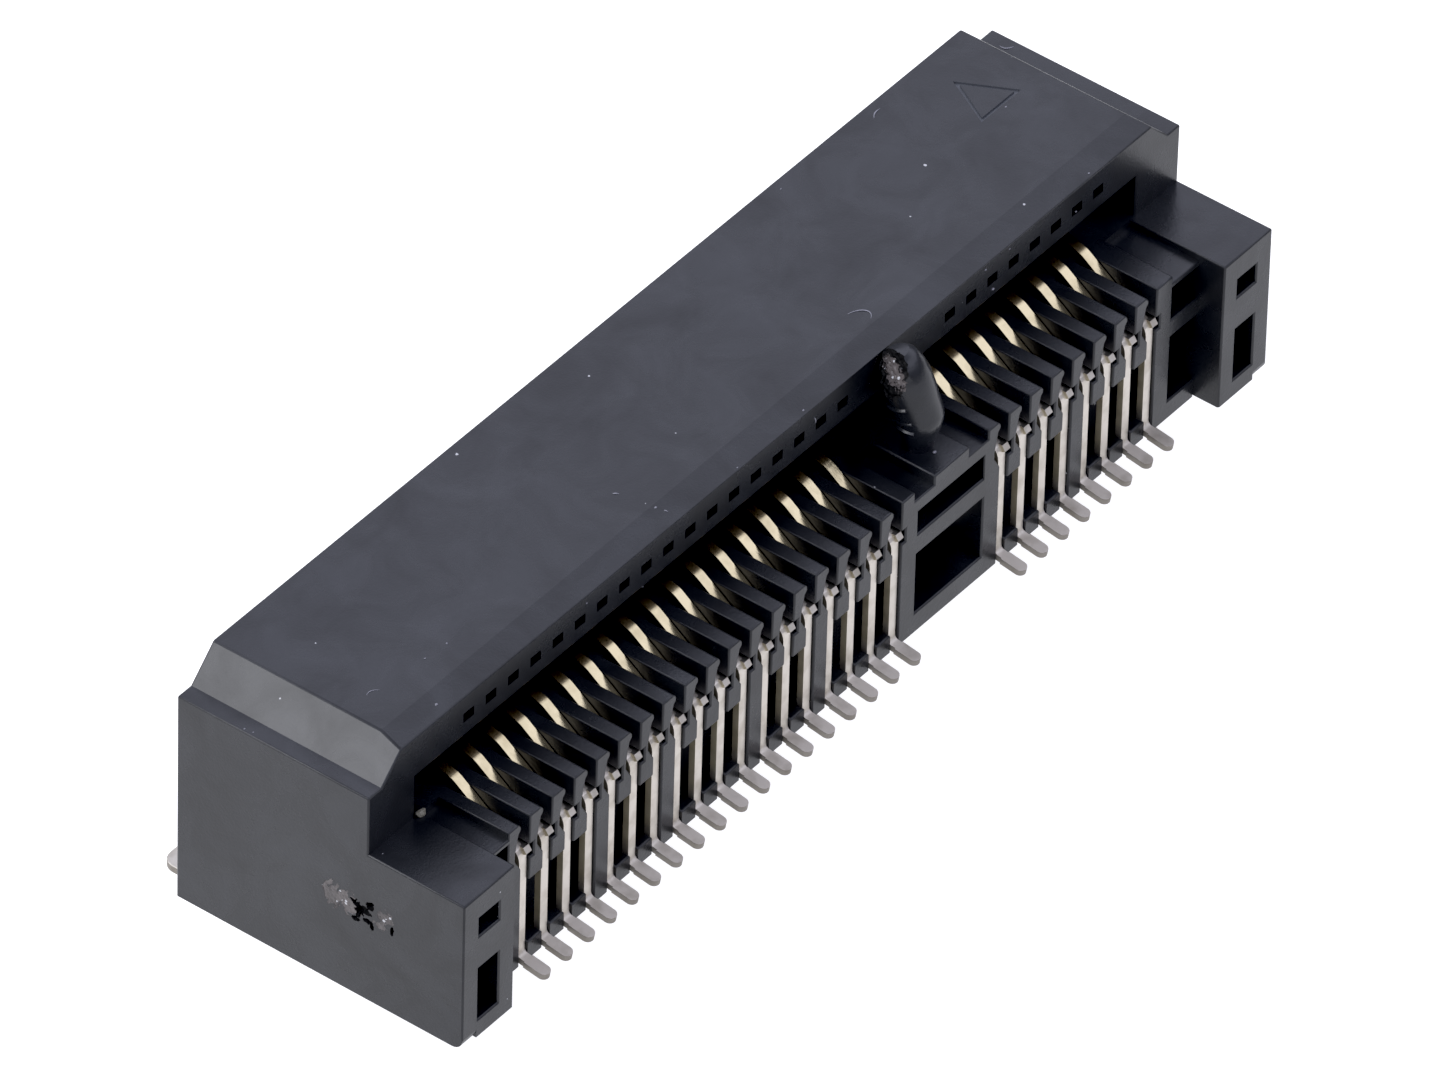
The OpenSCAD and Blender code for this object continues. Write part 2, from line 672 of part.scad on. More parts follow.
housing();
fitting_nail();  // fitting_nail_left
mirror([1, 0, 0]) fitting_nail();  // fitting_nail_right
for (k = [1:n_row]) {
    upper_contact(k);
    lower_contact(k);
}
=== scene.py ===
# %% [markdown]
# # A card edge connector in black plastic and plated strip
# The connector is a moulded housing with two rows of bent metal contacts. Its solids
# come from an exact CAD model, which is loaded here as a frame that nothing moves.
# The cells below add what a CAD model leaves out: the softened edges of a moulding,
# the finish of each material, marks of handling, light and a camera.

# %% Open the frame
import math

import bmesh
import bpy
import numpy as np
from mathutils import Matrix, Vector


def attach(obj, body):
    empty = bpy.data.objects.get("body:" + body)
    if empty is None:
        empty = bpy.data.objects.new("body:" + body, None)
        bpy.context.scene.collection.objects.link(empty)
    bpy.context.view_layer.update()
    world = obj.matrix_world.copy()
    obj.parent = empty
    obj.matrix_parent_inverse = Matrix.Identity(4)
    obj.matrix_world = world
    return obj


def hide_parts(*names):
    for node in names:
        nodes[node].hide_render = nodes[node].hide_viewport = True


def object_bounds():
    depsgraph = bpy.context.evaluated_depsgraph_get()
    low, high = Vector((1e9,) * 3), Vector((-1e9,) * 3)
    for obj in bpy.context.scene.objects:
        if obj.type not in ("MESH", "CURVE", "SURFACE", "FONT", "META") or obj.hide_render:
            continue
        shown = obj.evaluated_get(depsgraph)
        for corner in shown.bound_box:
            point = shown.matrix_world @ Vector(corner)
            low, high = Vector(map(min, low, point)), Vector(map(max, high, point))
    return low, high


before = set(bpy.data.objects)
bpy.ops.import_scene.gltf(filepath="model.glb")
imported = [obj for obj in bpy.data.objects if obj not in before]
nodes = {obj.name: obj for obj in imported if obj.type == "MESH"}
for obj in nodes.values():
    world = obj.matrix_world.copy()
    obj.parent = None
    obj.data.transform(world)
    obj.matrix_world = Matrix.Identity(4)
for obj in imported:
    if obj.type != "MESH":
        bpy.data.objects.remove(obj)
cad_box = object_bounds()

MM = 0.001
scene = bpy.context.scene
print(len(nodes), "CAD nodes, box in mm",
      [[round(v / MM, 2) for v in corner] for corner in cad_box])


def add(name, data):
    """A new object in the scene that holds the data."""
    made = bpy.data.objects.new(name, data)
    scene.collection.objects.link(made)
    return made


# %% [markdown]
# ## The camera
# The object is small, so it was photographed from far off through a long lens, and its
# parallel edges hardly meet. The camera's angles and distance were worked out from
# edges whose true sizes are known. It is placed directly here: its back vector points
# from the object to the lens, and the other two axes follow from it and a small roll.

# %% Place the camera
AZIMUTH, ELEVATION, ROLL = (math.radians(v) for v in (126.717, 41.176, 1.639))
AIM, DISTANCE, MOVED_RIGHT, MOVED_UP = Vector((0, 0, 3.08)), 438.353, -0.2235, -0.2718
FOCAL_LENGTH, SENSOR_WIDTH = 483.97, 36
CLIP_NEAR, CLIP_FAR = 0.02, 20

back = Vector((math.sin(AZIMUTH) * math.cos(ELEVATION),
               -math.cos(AZIMUTH) * math.cos(ELEVATION),
               math.sin(ELEVATION)))
level = Vector((-back.y, back.x, 0)).normalized()
upward = back.cross(level)
right = math.cos(ROLL) * level + math.sin(ROLL) * upward
up = math.cos(ROLL) * upward - math.sin(ROLL) * level
stand = (AIM + DISTANCE * back + MOVED_RIGHT * right + MOVED_UP * up) * MM

lens = bpy.data.cameras.new("long_lens")
lens.lens, lens.sensor_width, lens.sensor_fit = FOCAL_LENGTH, SENSOR_WIDTH, "HORIZONTAL"
lens.clip_start, lens.clip_end = CLIP_NEAR, CLIP_FAR
lens.dof.use_dof = False
camera = add("camera", lens)
turned = Matrix((right, up, back)).transposed().to_4x4()
camera.matrix_world = Matrix.Translation(stand) @ turned
scene.camera = camera
print("camera", [round(v / MM, 1) for v in stand], "mm away from the origin")

# %% [markdown]
# ## Shader nodes in one line each
# A finish is a tree of shader nodes that are made and linked one by one. Written out in
# full, that hides what the finish does. So each kind of step that comes up often, such
# as a sum, a blend of two colours or a noise, gets a helper that makes its node, links
# it and gives back the socket with the result.

# %% Make and link nodes
def node(tree, kind, inputs=None, **settings):
    """One shader node. An input given as a socket is linked, any other value is typed in."""
    made = tree.nodes.new("ShaderNode" + kind)
    for name, value in settings.items():
        setattr(made, name, value)
    for name, value in (inputs or {}).items():
        if isinstance(value, bpy.types.NodeSocket):
            tree.links.new(value, made.inputs[name])
        else:
            made.inputs[name].default_value = value
    return made


def calc(tree, operation, a, b=0.0):
    """The result of one sum on two numbers or sockets."""
    return node(tree, "Math", {0: a, 1: b}, operation=operation).outputs[0]


def vector(tree, operation, a, b=(0.0, 0.0, 0.0)):
    """The result of one sum on two vectors, or the length of the first."""
    made = node(tree, "VectorMath", {0: a, 1: b}, operation=operation)
    return made.outputs["Value" if operation == "LENGTH" else "Vector"]


def blend(tree, factor, a, b, way="MIX"):
    """Colour a where factor is 0. Where it is 1, colour b, or with MULTIPLY a times b."""
    colours = {0: factor, 6: a, 7: b}
    return node(tree, "Mix", colours, data_type="RGBA", blend_type=way).outputs[2]


def ramp(tree, value, low, high, start=0.0, end=1.0):
    """value moved from the span low..high to the span start..end, and kept inside it."""
    return node(tree, "MapRange", {0: value, 1: low, 2: high, 3: start, 4: end}).outputs[0]


def noise(tree, point, per_mm, detail, rough=0.5, bend=0.0):
    """Soft noise from 0 to 1, with about that many lumps to the millimetre."""
    inputs = {"Vector": point, "Scale": per_mm, "Detail": detail, "Roughness": rough}
    return node(tree, "TexNoise", {**inputs, "Distortion": bend}).outputs["Fac"]


print(sum(kind.startswith("ShaderNode") for kind in dir(bpy.types)), "kinds of shader node")

# %% [markdown]
# ## A material to start from
# Every finish begins with the same three things: a material with nodes, its Principled
# shader, and the point of the surface. The point is read from Object coordinates, which
# stay with the piece, and is turned into millimetres, so that the sizes of a pattern can
# be typed in as they are on the real thing.

# %% Start a material
def grey(v, tint=0.0):
    """A nearly neutral colour, a little bluer with a higher tint."""
    return (v * (1 - tint), v * (1 - tint / 3), v * (1 + tint), 1)


def new_material(name):
    """A node material, its tree, its Principled shader, and the surface point in mm."""
    material = bpy.data.materials.new(name)
    material.use_nodes = True
    tree = material.node_tree
    shader = next(n for n in tree.nodes if n.type == "BSDF_PRINCIPLED")
    object_point = node(tree, "TexCoord").outputs["Object"]
    return material, tree, shader, vector(tree, "MULTIPLY", object_point, (1 / MM,) * 3)


print("a dark grey with a tint:", [round(v, 4) for v in grey(0.02, 0.12)])

# %% [markdown]
# ## The floor
# Small parts are often shot on a light table, which lifts the floor to white, hides the
# shadows and sends light up at the object's sides. The floor here does the same: it is a
# sheet of milk glass that glows, a little less under the rear of the object, where the
# tails and the rear faces mirror it.

# %% Lay the floor
FLOOR_Z, FLOOR_REACH, FLOOR_ROUGH = cad_box[0][2] - 0.02 * MM, 0.6, 0.9
GLOW_COLOUR, GLOW_Y, GLOW_STRENGTH = (0.97, 0.97, 1, 1), (-1.0, 5.0), (1.15, 0.87)

corners = [(x * FLOOR_REACH, y * FLOOR_REACH, FLOOR_Z)
           for x, y in ((-1, -1), (1, -1), (1, 1), (-1, 1))]
floor_mesh = bpy.data.meshes.new("floor")
floor_mesh.from_pydata(corners, [], [(0, 1, 2, 3)])
floor = add("floor", floor_mesh)

milk_glass, tree, shader, point = new_material("light_table")
tint = blend(tree, noise(tree, point, per_mm=0.02, detail=2), grey(0.24), grey(0.28))
tree.links.new(tint, shader.inputs["Base Color"])
shader.inputs["Roughness"].default_value = FLOOR_ROUGH
shader.inputs["Emission Color"].default_value = GLOW_COLOUR
rearward = node(tree, "SeparateXYZ", {0: point}).outputs["Y"]
glow = ramp(tree, rearward, *GLOW_Y, *GLOW_STRENGTH)
tree.links.new(glow, shader.inputs["Emission Strength"])
floor_mesh.materials.append(milk_glass)
print("floor at", round(FLOOR_Z / MM, 2), "mm, just under the pegs")

# %% [markdown]
# ## The light
# Black plastic gives back little but gloss, so what a face mirrors sets how pale it
# looks. The sides mirror the floor. The top mirrors the sky, which is a ring of light
# from about 20 to 60 degrees up, dim overhead and dark below. One large soft lamp
# stands beyond the near end, where the near chamfer mirrors it. Slots and recesses,
# whose mirrored direction is blocked, stay near black, and the film's black level takes
# off the last of the haze.

# %% Hang the lights
SKY_COLOUR, BLACK_LEVEL = (0.9, 0.92, 1.1, 1), 0.006
RING_STRENGTH, OVERHEAD_SHARE, BELOW_SHARE = 1.68, 0.35, 0.08
RING_STARTS, RING_ENDS = (0.25, 0.5), (0.8, 0.97)


def lamp(name, direction, distance, size, power):
    """A square soft light, that far from the object in that direction, turned to face it."""
    data = bpy.data.lights.new(name, "AREA")
    data.size, data.energy = size, power
    made = add(name, data)
    away = Vector(direction).normalized()
    made.location = away * distance
    made.rotation_euler = away.to_track_quat("Z", "Y").to_euler()


lamp("key_soft_box", direction=(0.66, -0.45, 0.59), distance=0.5, size=0.3, power=1.25)

world = bpy.data.worlds.new("studio")
world.use_nodes = True
tent = world.node_tree
sky = next(n for n in tent.nodes if n.type == "BACKGROUND")
sky.inputs["Color"].default_value = SKY_COLOUR
height = node(tent, "SeparateXYZ", {0: node(tent, "TexCoord").outputs["Generated"]}).outputs["Z"]
rise = ramp(tent, height, *RING_STARTS, BELOW_SHARE, 1.0)
fall = ramp(tent, height, *RING_ENDS, RING_STRENGTH, RING_STRENGTH * OVERHEAD_SHARE)
tent.links.new(calc(tent, "MULTIPLY", rise, fall), sky.inputs["Strength"])
scene.world = world

film = scene.view_settings
film.view_transform, film.look, film.use_curve_mapping = "Standard", "None", True
film.curve_mapping.black_level = (BLACK_LEVEL,) * 3
film.curve_mapping.update()

# %% [markdown]
# ## Effects that more than one finish uses
# Grain, dust and hair marks turn up on every part of a handled moulding. Each could be
# painted on each piece, but a node group that takes a point in millimetres and puts out
# a mask or a height works on all of them, and its sizes read as real ones. The finish
# decides what to do with it. The grain is a fine noise for the mould's texture, and a
# broad one for the clouds that the flow of the melt leaves.

# %% Build the grain group
CLOUDS_PER_MM, CLOUD_SPAN = 0.55, (0.3, 0.7)


def new_group(name, numbers, outputs):
    """An empty node group that takes a Point and those numbers, and its two end nodes."""
    tree = bpy.data.node_groups.new(name, "ShaderNodeTree")
    tree.interface.new_socket("Point", in_out="INPUT", socket_type="NodeSocketVector")
    for label, value in numbers.items():
        socket = tree.interface.new_socket(label, in_out="INPUT", socket_type="NodeSocketFloat")
        socket.default_value = value
    for label in outputs:
        tree.interface.new_socket(label, in_out="OUTPUT", socket_type="NodeSocketFloat")
    ends = tree.nodes.new("NodeGroupInput"), tree.nodes.new("NodeGroupOutput")
    return tree, ends[0].outputs, ends[1].inputs


grain, put, get = new_group("moulded_grain", {"Per mm": 14.0}, ["Height", "Cloud"])
fine = noise(grain, put["Point"], put["Per mm"], detail=3, rough=0.6)
cloud = noise(grain, put["Point"], CLOUDS_PER_MM, detail=4, rough=0.62, bend=0.6)
grain.links.new(fine, get["Height"])
grain.links.new(ramp(grain, cloud, *CLOUD_SPAN), get["Cloud"])
print(grain.name, "takes", list(put.keys())[:-1], "and gives", list(get.keys())[:-1])

# %% [markdown]
# ## Dust
# Dust lies as single specks of different sizes. A Voronoi pattern splits space into
# cells, each with a random colour. One part of that colour says whether the cell holds a
# speck at all, another how large it is, and a fine noise makes its outline uneven.

# %% Build the dust group
SPECK_RIM, UNEVEN_PER_MM, UNEVEN_FROM = 0.02, 22.0, 0.5


def random_cells(tree, put):
    """The cells of a Voronoi pattern, and the random colour of each, split in three."""
    cells = node(tree, "TexVoronoi", {"Vector": put["Point"], "Scale": put["Per mm"]})
    return cells.outputs, node(tree, "SeparateColor", {0: cells.outputs["Color"]}).outputs


dust, put, get = new_group("dust", {"Per mm": 1.6, "Share": 0.1, "Size": 0.1}, ["Mask"])
cells, lot = random_cells(dust, put)
chosen = calc(dust, "LESS_THAN", lot[0], put["Share"])
uneven = calc(dust, "ADD", noise(dust, put["Point"], UNEVEN_PER_MM, detail=1), UNEVEN_FROM)
speck = calc(dust, "MULTIPLY", calc(dust, "MULTIPLY", put["Size"], lot[1]), uneven)
inside = ramp(dust, calc(dust, "SUBTRACT", speck, cells["Distance"]), 0.0, SPECK_RIM)
dust.links.new(calc(dust, "MULTIPLY", chosen, inside), get["Mask"])
print(dust.name, "takes", list(put.keys())[:-1])

# %% [markdown]
# ## Hair marks
# A fibre that touched the plastic leaves a short curved mark. Drawing each one would
# need a curve per mark. Here a mark is part of a circle instead: the points of one
# Voronoi cell that lie at one distance from a centre, whose direction is picked at
# random for that cell, and not too far from the cell's middle.

# %% Build the hair group
ARC_RADIUS, ARC_RIM = 0.45, 0.008
REACH_SHIFT, REACH_SCALE = 0.4, 0.35
HALF_COLOUR = (0.5, 0.5, 0.5)

hair_inputs = {"Per mm": 0.8, "Share": 0.1, "Width": 0.01}
hairs, put, get = new_group("hair_marks", hair_inputs, ["Mask"])
cells, lot = random_cells(hairs, put)
local = vector(hairs, "SUBTRACT", put["Point"], cells["Position"])
aim = vector(hairs, "SUBTRACT", cells["Color"], HALF_COLOUR)
centre = vector(hairs, "MULTIPLY", vector(hairs, "NORMALIZE", aim), (ARC_RADIUS,) * 3)
from_centre = vector(hairs, "LENGTH", vector(hairs, "SUBTRACT", local, centre))
off_arc = calc(hairs, "ABSOLUTE", calc(hairs, "SUBTRACT", from_centre, ARC_RADIUS))
on_arc = ramp(hairs, calc(hairs, "SUBTRACT", put["Width"], off_arc), 0.0, ARC_RIM)
reach = calc(hairs, "MULTIPLY", calc(hairs, "ADD", lot[1], REACH_SHIFT), REACH_SCALE)
near = calc(hairs, "LESS_THAN", vector(hairs, "LENGTH", local), reach)
chosen = calc(hairs, "LESS_THAN", lot[0], put["Share"])
mark = calc(hairs, "MULTIPLY", calc(hairs, "MULTIPLY", on_arc, near), chosen)
hairs.links.new(mark, get["Mask"])
print(hairs.name, "takes", list(put.keys())[:-1])

# %% [markdown]
# ## Black moulded plastic
# The housing is a glass-filled plastic that stands soldering heat. It is nearly black
# through, and its deep pits and window walls get a near-black finish that is painted shade.
# Its skin is satin, with a fine grain from the mould, cloudier patches where the melt
# flowed, pale dust that clings to it, and hair marks from handling. Where it was torn off
# the runner its glass shows as pale grit. One function mixes all of these, so that each
# black of the moulding is the same plastic with other shares.

# %% Mix the black plastics
GRAIN_PER_MM, GRAIN_DEPTH, GRAIN_BUMP, CLOUD_GLOSS = 14.0, 0.006, 0.7, -0.1
HAIR_MARKS, HAIR_PAINT = {"Per mm": 0.9, "Width": 0.012}, (0.7, grey(0.34, 0.03))
GLASS_GRIT, GRIT_PAINT = {"Per mm": 12.0, "Size": 0.6}, (1.0, grey(0.42, 0.02))
DUST_SPECKS, DUST_PAINT = {"Per mm": 3.0, "Size": 0.15}, (0.8, grey(0.5, 0.02))


def place_group(tree, group, inputs):
    """The outputs of a group placed in a material."""
    return node(tree, "Group", inputs, node_tree=group).outputs


def paint_over(tree, colour, group, inputs, strength, paint):
    """The colour, with paint where the group's mask is 1, as strongly as strength says."""
    mask = place_group(tree, group, inputs)["Mask"]
    return blend(tree, calc(tree, "MULTIPLY", mask, strength), colour, paint)


def plastic(name, deep, pale, rough, dust_share=0.0, hair_share=0.0, grit=0.0, gloss=0.42):
    """Satin black plastic: a cloudy colour between deep and pale, grain as bump, hair marks
    and dust as pale places, and grit as the share of pale glass in a torn surface."""
    material, tree, shader, point = new_material(name)
    skin = place_group(tree, grain, {"Point": point, "Per mm": GRAIN_PER_MM})
    colour = blend(tree, skin["Cloud"], deep, pale)
    marks = {"Point": point, "Share": hair_share, **HAIR_MARKS}
    colour = paint_over(tree, colour, hairs, marks, *HAIR_PAINT)
    if grit:
        glass = {"Point": point, "Share": grit, **GLASS_GRIT}
        colour = paint_over(tree, colour, dust, glass, *GRIT_PAINT)
    specks = {"Point": point, "Share": dust_share, **DUST_SPECKS}
    colour = paint_over(tree, colour, dust, specks, *DUST_PAINT)
    tree.links.new(colour, shader.inputs["Base Color"])
    roughness = calc(tree, "ADD", calc(tree, "MULTIPLY", skin["Cloud"], CLOUD_GLOSS), rough)
    tree.links.new(roughness, shader.inputs["Roughness"])
    shader.inputs["Specular IOR Level"].default_value = gloss
    height = calc(tree, "MULTIPLY", skin["Height"], GRAIN_DEPTH)
    bump = node(tree, "Bump", {"Strength": GRAIN_BUMP, "Distance": MM, "Height": height})
    tree.links.new(bump.outputs[0], shader.inputs["Normal"])
    return material


housing_plastic = plastic("black_moulded_plastic", grey(0.006, 0.14), grey(0.018, 0.12), 0.33,
                          dust_share=0.05, hair_share=0.02)
edge_plastic = plastic("rubbed_plastic_edge", grey(0.008, 0.12), grey(0.018, 0.1), 0.4)
torn_plastic = plastic("torn_pale_plastic", (0.03, 0.027, 0.026, 1), (0.14, 0.124, 0.12, 1), 0.44,
                       grit=0.15)
# Near black and dull: painted shade for the deep gate pits and the window walls, and the dark of
# the post's break.
dark_break_and_shade_plastic = plastic("dark_break_and_painted_shade", grey(0.003), grey(0.007), 0.65, gloss=0.15)
# Paler than the skin: painted light that lifts the shade in the triangle's groove.
groove_lit_plastic = plastic("groove_painted_light", grey(0.07, 0.1), grey(0.085, 0.08), 0.5)

FINISHES = housing_plastic, edge_plastic, torn_plastic, dark_break_and_shade_plastic, groove_lit_plastic
SKIN, EDGE, TORN, DARK_BREAK_AND_SHADE, LIT_GROOVE = range(len(FINISHES))
print("plastics", [m.name for m in FINISHES])

# %% [markdown]
# ## A clean copy of the housing
# A CAD mesh comes as loose triangles. The housing gets marks and softened edges that a
# CAD mesh must not have, so it is copied and its triangles are welded at their corners.
# Its flat faces are joined up again too, but only after it has been cut, because a
# Boolean is surer on triangles than on large faces with many corners.

# %% Copy the housing
WELD = 0.0005 * MM


def open_mesh(mesh):
    """A bmesh of the mesh, in which its corners, edges and faces can be worked on."""
    work = bmesh.new()
    work.from_mesh(mesh)
    return work


def write_back(work, mesh):
    """Put the bmesh into the mesh, and free it."""
    work.to_mesh(mesh)
    work.free()


def welded_copy(node_name, name):
    """The CAD node's mesh in a new object, with its triangles joined at their corners."""
    mesh = nodes[node_name].data.copy()
    mesh.name = name
    work = open_mesh(mesh)
    bmesh.ops.remove_doubles(work, verts=work.verts, dist=WELD)
    write_back(work, mesh)
    return add(name, mesh)


moulding = welded_copy("housing", "housing_moulding")
moulding.data.materials.clear()
for finish in FINISHES:
    moulding.data.materials.append(finish)
all_skin = np.full(len(moulding.data.polygons), SKIN, np.int32)
moulding.data.polygons.foreach_set("material_index", all_skin)
print("housing copy", len(moulding.data.polygons), "faces")

# %% [markdown]
# ## Torn plastic
# Two places on the moulding were torn, not moulded: the gate on the near end face, where
# the runner of plastic was broken off, and the oblique tip of the post. A break in
# glass-filled plastic is a heap of tiny facets at all angles. It could be faked with
# bump, but then its outline would stay smooth. So the facets are real: a function works
# out their height over a grid, and the depth of a torn place follows it.

# %% Heap up facets
def facets(u, v, size, tilt, rng):
    """Height of a heap of facets. Seeds lie at random over the grid, one for each size by size
    of it. A point takes the plane of its nearest seed: the seed's own level, from 0 to 1,
    plus its slope in u and in v times the way from the seed, for facets size wide."""
    count = max(4, int(np.ptp(u) * np.ptp(v) / size ** 2))
    at_u = rng.uniform(u.min(), u.max(), count)
    at_v = rng.uniform(v.min(), v.max(), count)
    seed = np.argmin((u[..., None] - at_u) ** 2 + (v[..., None] - at_v) ** 2, axis=-1)
    level = rng.uniform(0, 1, count)
    slope_u, slope_v = rng.normal(0, tilt / size, count), rng.normal(0, tilt / size, count)
    return level[seed] + slope_u[seed] * (u - at_u[seed]) + slope_v[seed] * (v - at_v[seed])


def torn_depth(u, v, least, more, facet, rng):
    """Depth of a torn place: least, plus the share of more that the facets' height gives."""
    return least + more * np.clip(facets(u, v, *facet, rng), 0, 1)


def grid(half_u, half_v, step):
    """Two arrays, u and v, over a rectangle about zero, with points step apart."""
    return np.meshgrid(np.arange(-half_u, half_u + step, step),
                       np.arange(-half_v, half_v + step, step), indexing="ij")


gate_u, gate_v = grid(1.25, 0.62, 0.025)
print("the gate's grid has", gate_u.shape, "points")

# %% [markdown]
# ## A block to cut with
# A Boolean takes a closed block out of a piece, so the damage never stands proud of it.
# The torn sheet is the block's underside, a plain sheet lies above the surface, and walls
# join their rims. Where nothing is torn the underside stays a little above the surface.

# %% Make a block
UNCUT = -0.02


def cutter(name, centre, normal, across, u, v, depth, above, finish):
    """A closed block over the u, v grid. Its lower sheet lies depth under the plane through
    centre, its upper sheet lies above mm over that plane, and walls join the rims."""
    normal = Vector(normal).normalized()
    side = (Vector(across) - normal * normal.dot(Vector(across))).normalized()
    axes = np.array([side, normal.cross(side), normal])
    sheets = [np.stack([u, v, w], -1).reshape(-1, 3) for w in (-depth, np.full_like(u, above))]
    points = (np.vstack(sheets) @ axes + np.array(centre)) * MM
    i = np.arange(u.size).reshape(u.shape)
    quads = np.stack([i[:-1, :-1], i[1:, :-1], i[1:, 1:], i[:-1, 1:]], -1).reshape(-1, 4)
    rim = np.concatenate([i[:-1, 0], i[-1, :-1], i[:0:-1, -1], i[0, :0:-1]])
    after = np.roll(rim, -1)
    walls = np.stack([rim, after, after + u.size, rim + u.size], -1)
    faces = np.vstack([quads, quads[:, ::-1] + u.size, walls])
    mesh = bpy.data.meshes.new(name)
    mesh.from_pydata(points.tolist(), [], faces.tolist())
    mesh.materials.append(finish)
    work = open_mesh(mesh)
    bmesh.ops.recalc_face_normals(work, faces=work.faces)
    write_back(work, mesh)
    return add(name, mesh)


print("a block's underside stays", -UNCUT, "mm above the surface where nothing is torn")

# %% [markdown]
# ## Cut, and score the end face first
# The cut is worked out into the mesh at once, so that no modifier is left to wait for the
# block. The end face is one large flat face, and cutting into it would leave long thin
# triangles that shade badly. So it is scored along a rectangle round the gate, and the
# cut stays inside that.

# %% Score the end face
GATE, FENCE = (14.95, 1.15, 2.6), ((-0.25, 1.85), (2.5, 3.35))
FACES_X, NEAR_END = 0.999, 0.01


def work_out(piece):
    """Put what the piece's modifiers make into its mesh, and take the modifiers off."""
    depsgraph = bpy.context.evaluated_depsgraph_get()
    result = bpy.data.meshes.new_from_object(piece.evaluated_get(depsgraph))
    piece.modifiers.clear()
    old, piece.data = piece.data, result
    bpy.data.meshes.remove(old)


def take_away(piece, tool):
    """Cut tool out of piece for good. The cut faces keep the tool's material."""
    before = len(piece.data.polygons)
    cut = piece.modifiers.new("cut", "BOOLEAN")
    cut.operation, cut.solver, cut.object = "DIFFERENCE", "EXACT", tool
    cut.material_mode = "TRANSFER"
    work_out(piece)
    bpy.data.objects.remove(tool)
    print(" ", before, "faces before the cut,", len(piece.data.polygons), "after")


def score(piece, face_x, corner, opposite):
    """Score the end face along the four sides of a rectangle, given by two corners in depth
    and height, so that what is cut inside it leaves the rest of the face alone."""
    work = open_mesh(piece.data)
    for i, (low, high) in enumerate(zip(corner, opposite)):
        for at in (low, high):
            normal = Vector((0, i == 0, i == 1))
            faces = [f for f in work.faces if f.normal.x > FACES_X
                     and f.calc_center_median().x > (face_x - NEAR_END) * MM]
            around = {part for f in faces for part in (*f.verts, *f.edges)}
            bmesh.ops.bisect_plane(work, geom=[*faces, *around],
                                   plane_co=normal * at * MM, plane_no=normal)
    write_back(work, piece.data)


score(moulding, GATE[0], *FENCE)
print("end face scored,", len(moulding.data.polygons), "faces")

# %% [markdown]
# ## The torn gate
# The runner left a shallow pale rub to each side and a deep star in the middle, where the
# plastic tore inwards; the star's near-black finish is painted shade for its depth. Both
# follow the same uneven wave, so that their outlines fit each other. The rub is cut first,
# at most two hundredths of a millimetre deep, and the star and its small pits after it, up
# to ten times as deep.

# %% Tear the gate
OUTWARD, REARWARD, GATE_ABOVE = (1, 0, 0), (0, 1, 0), 0.2
WAVE_FACETS, RUB_FACETS, PIT_FACETS = (0.11, 0.35), (0.06, 0.5), (0.06, 0.4)
RUB_WAVE, RUB_LEAST, RUB_MORE = 0.7, 0.002, 0.016
PIT_WAVE, PIT_LEAST, PIT_FALL, PIT_HOLD, PIT_ROUGH = 0.35, 0.02, 0.22, 0.6, 0.02
# Each place is given by its middle, along the face and up it, and its reach in both.
RUB_SPOTS = [(-0.72, 0.05, 0.26, 0.36), (-0.45, 0.16, 0.34, 0.3), (-0.2, 0.0, 0.3, 0.28),
             (0.75, 0.18, 0.24, 0.18), (0.62, -0.12, 0.18, 0.12)]
PIT_SPOTS = [(0.36, 0.3, 0.1, 0.12), (-0.05, -0.28, 0.13, 0.07), (0.3, -0.18, 0.14, 0.06),
             (0.42, -0.3, 0.05, 0.08), (0.98, -0.08, 0.05, 0.13)]
# The star's points are two waves round it: how many points, where they start, how long.
STAR_AT, STAR_RADIUS, STAR_WAVES = 0.06, 0.2, [(3, 1, 0.07), (7, 2, 0.05)]


def blob(u, v, at_u, at_v, reach_u, reach_v):
    """1 at a centre, 0 on an ellipse round it and negative outside."""
    return 1 - np.hypot((u - at_u) / reach_u, (v - at_v) / reach_v)


rng = np.random.default_rng(11)
u, v = gate_u, gate_v
wave = facets(u, v, *WAVE_FACETS, rng) - 0.5
rub = np.max([blob(u, v, *spot) for spot in RUB_SPOTS], axis=0) + RUB_WAVE * wave
rub_depth = np.where(rub > 0, torn_depth(u, v, RUB_LEAST, RUB_MORE, RUB_FACETS, rng), UNCUT)
take_away(moulding, cutter("gate_rub", GATE, OUTWARD, REARWARD, u, v, rub_depth, GATE_ABOVE,
                           torn_plastic))

angle = np.arctan2(v - STAR_AT, u - STAR_AT)
points_out = sum((long * np.sin(many * angle + start) for many, start, long in STAR_WAVES),
                 STAR_RADIUS)
star = 1 - np.hypot(u - STAR_AT, v - STAR_AT) / points_out
pit = np.max([star, *(blob(u, v, *spot) for spot in PIT_SPOTS)], axis=0) + PIT_WAVE * wave
deep = PIT_LEAST + PIT_FALL * np.clip(pit, 0, PIT_HOLD) + PIT_ROUGH * facets(u, v, *PIT_FACETS, rng)
pit_depth = np.where(pit > 0, deep, UNCUT)
# The star and its pits take the near-black finish, painted shade for the depth of the tear.
take_away(moulding, cutter("gate_pit", GATE, OUTWARD, REARWARD, u, v, pit_depth, GATE_ABOVE,
                           dark_break_and_shade_plastic))

# %% [markdown]
# ## The post's torn tip
# The post ends in an oblique break. Its place could be typed in, but then it would have
# to be typed again whenever the post moves. So the break is found on the moulding by the
# way it faces, and its middle and half sizes are measured there.

# %% Find the tip
TIP_FACING, UP = Vector((0.904, -0.265, 0.335)).normalized(), (0, 0, 1)
SAME_WAY, TIP_LOWEST = 0.995, 5.5

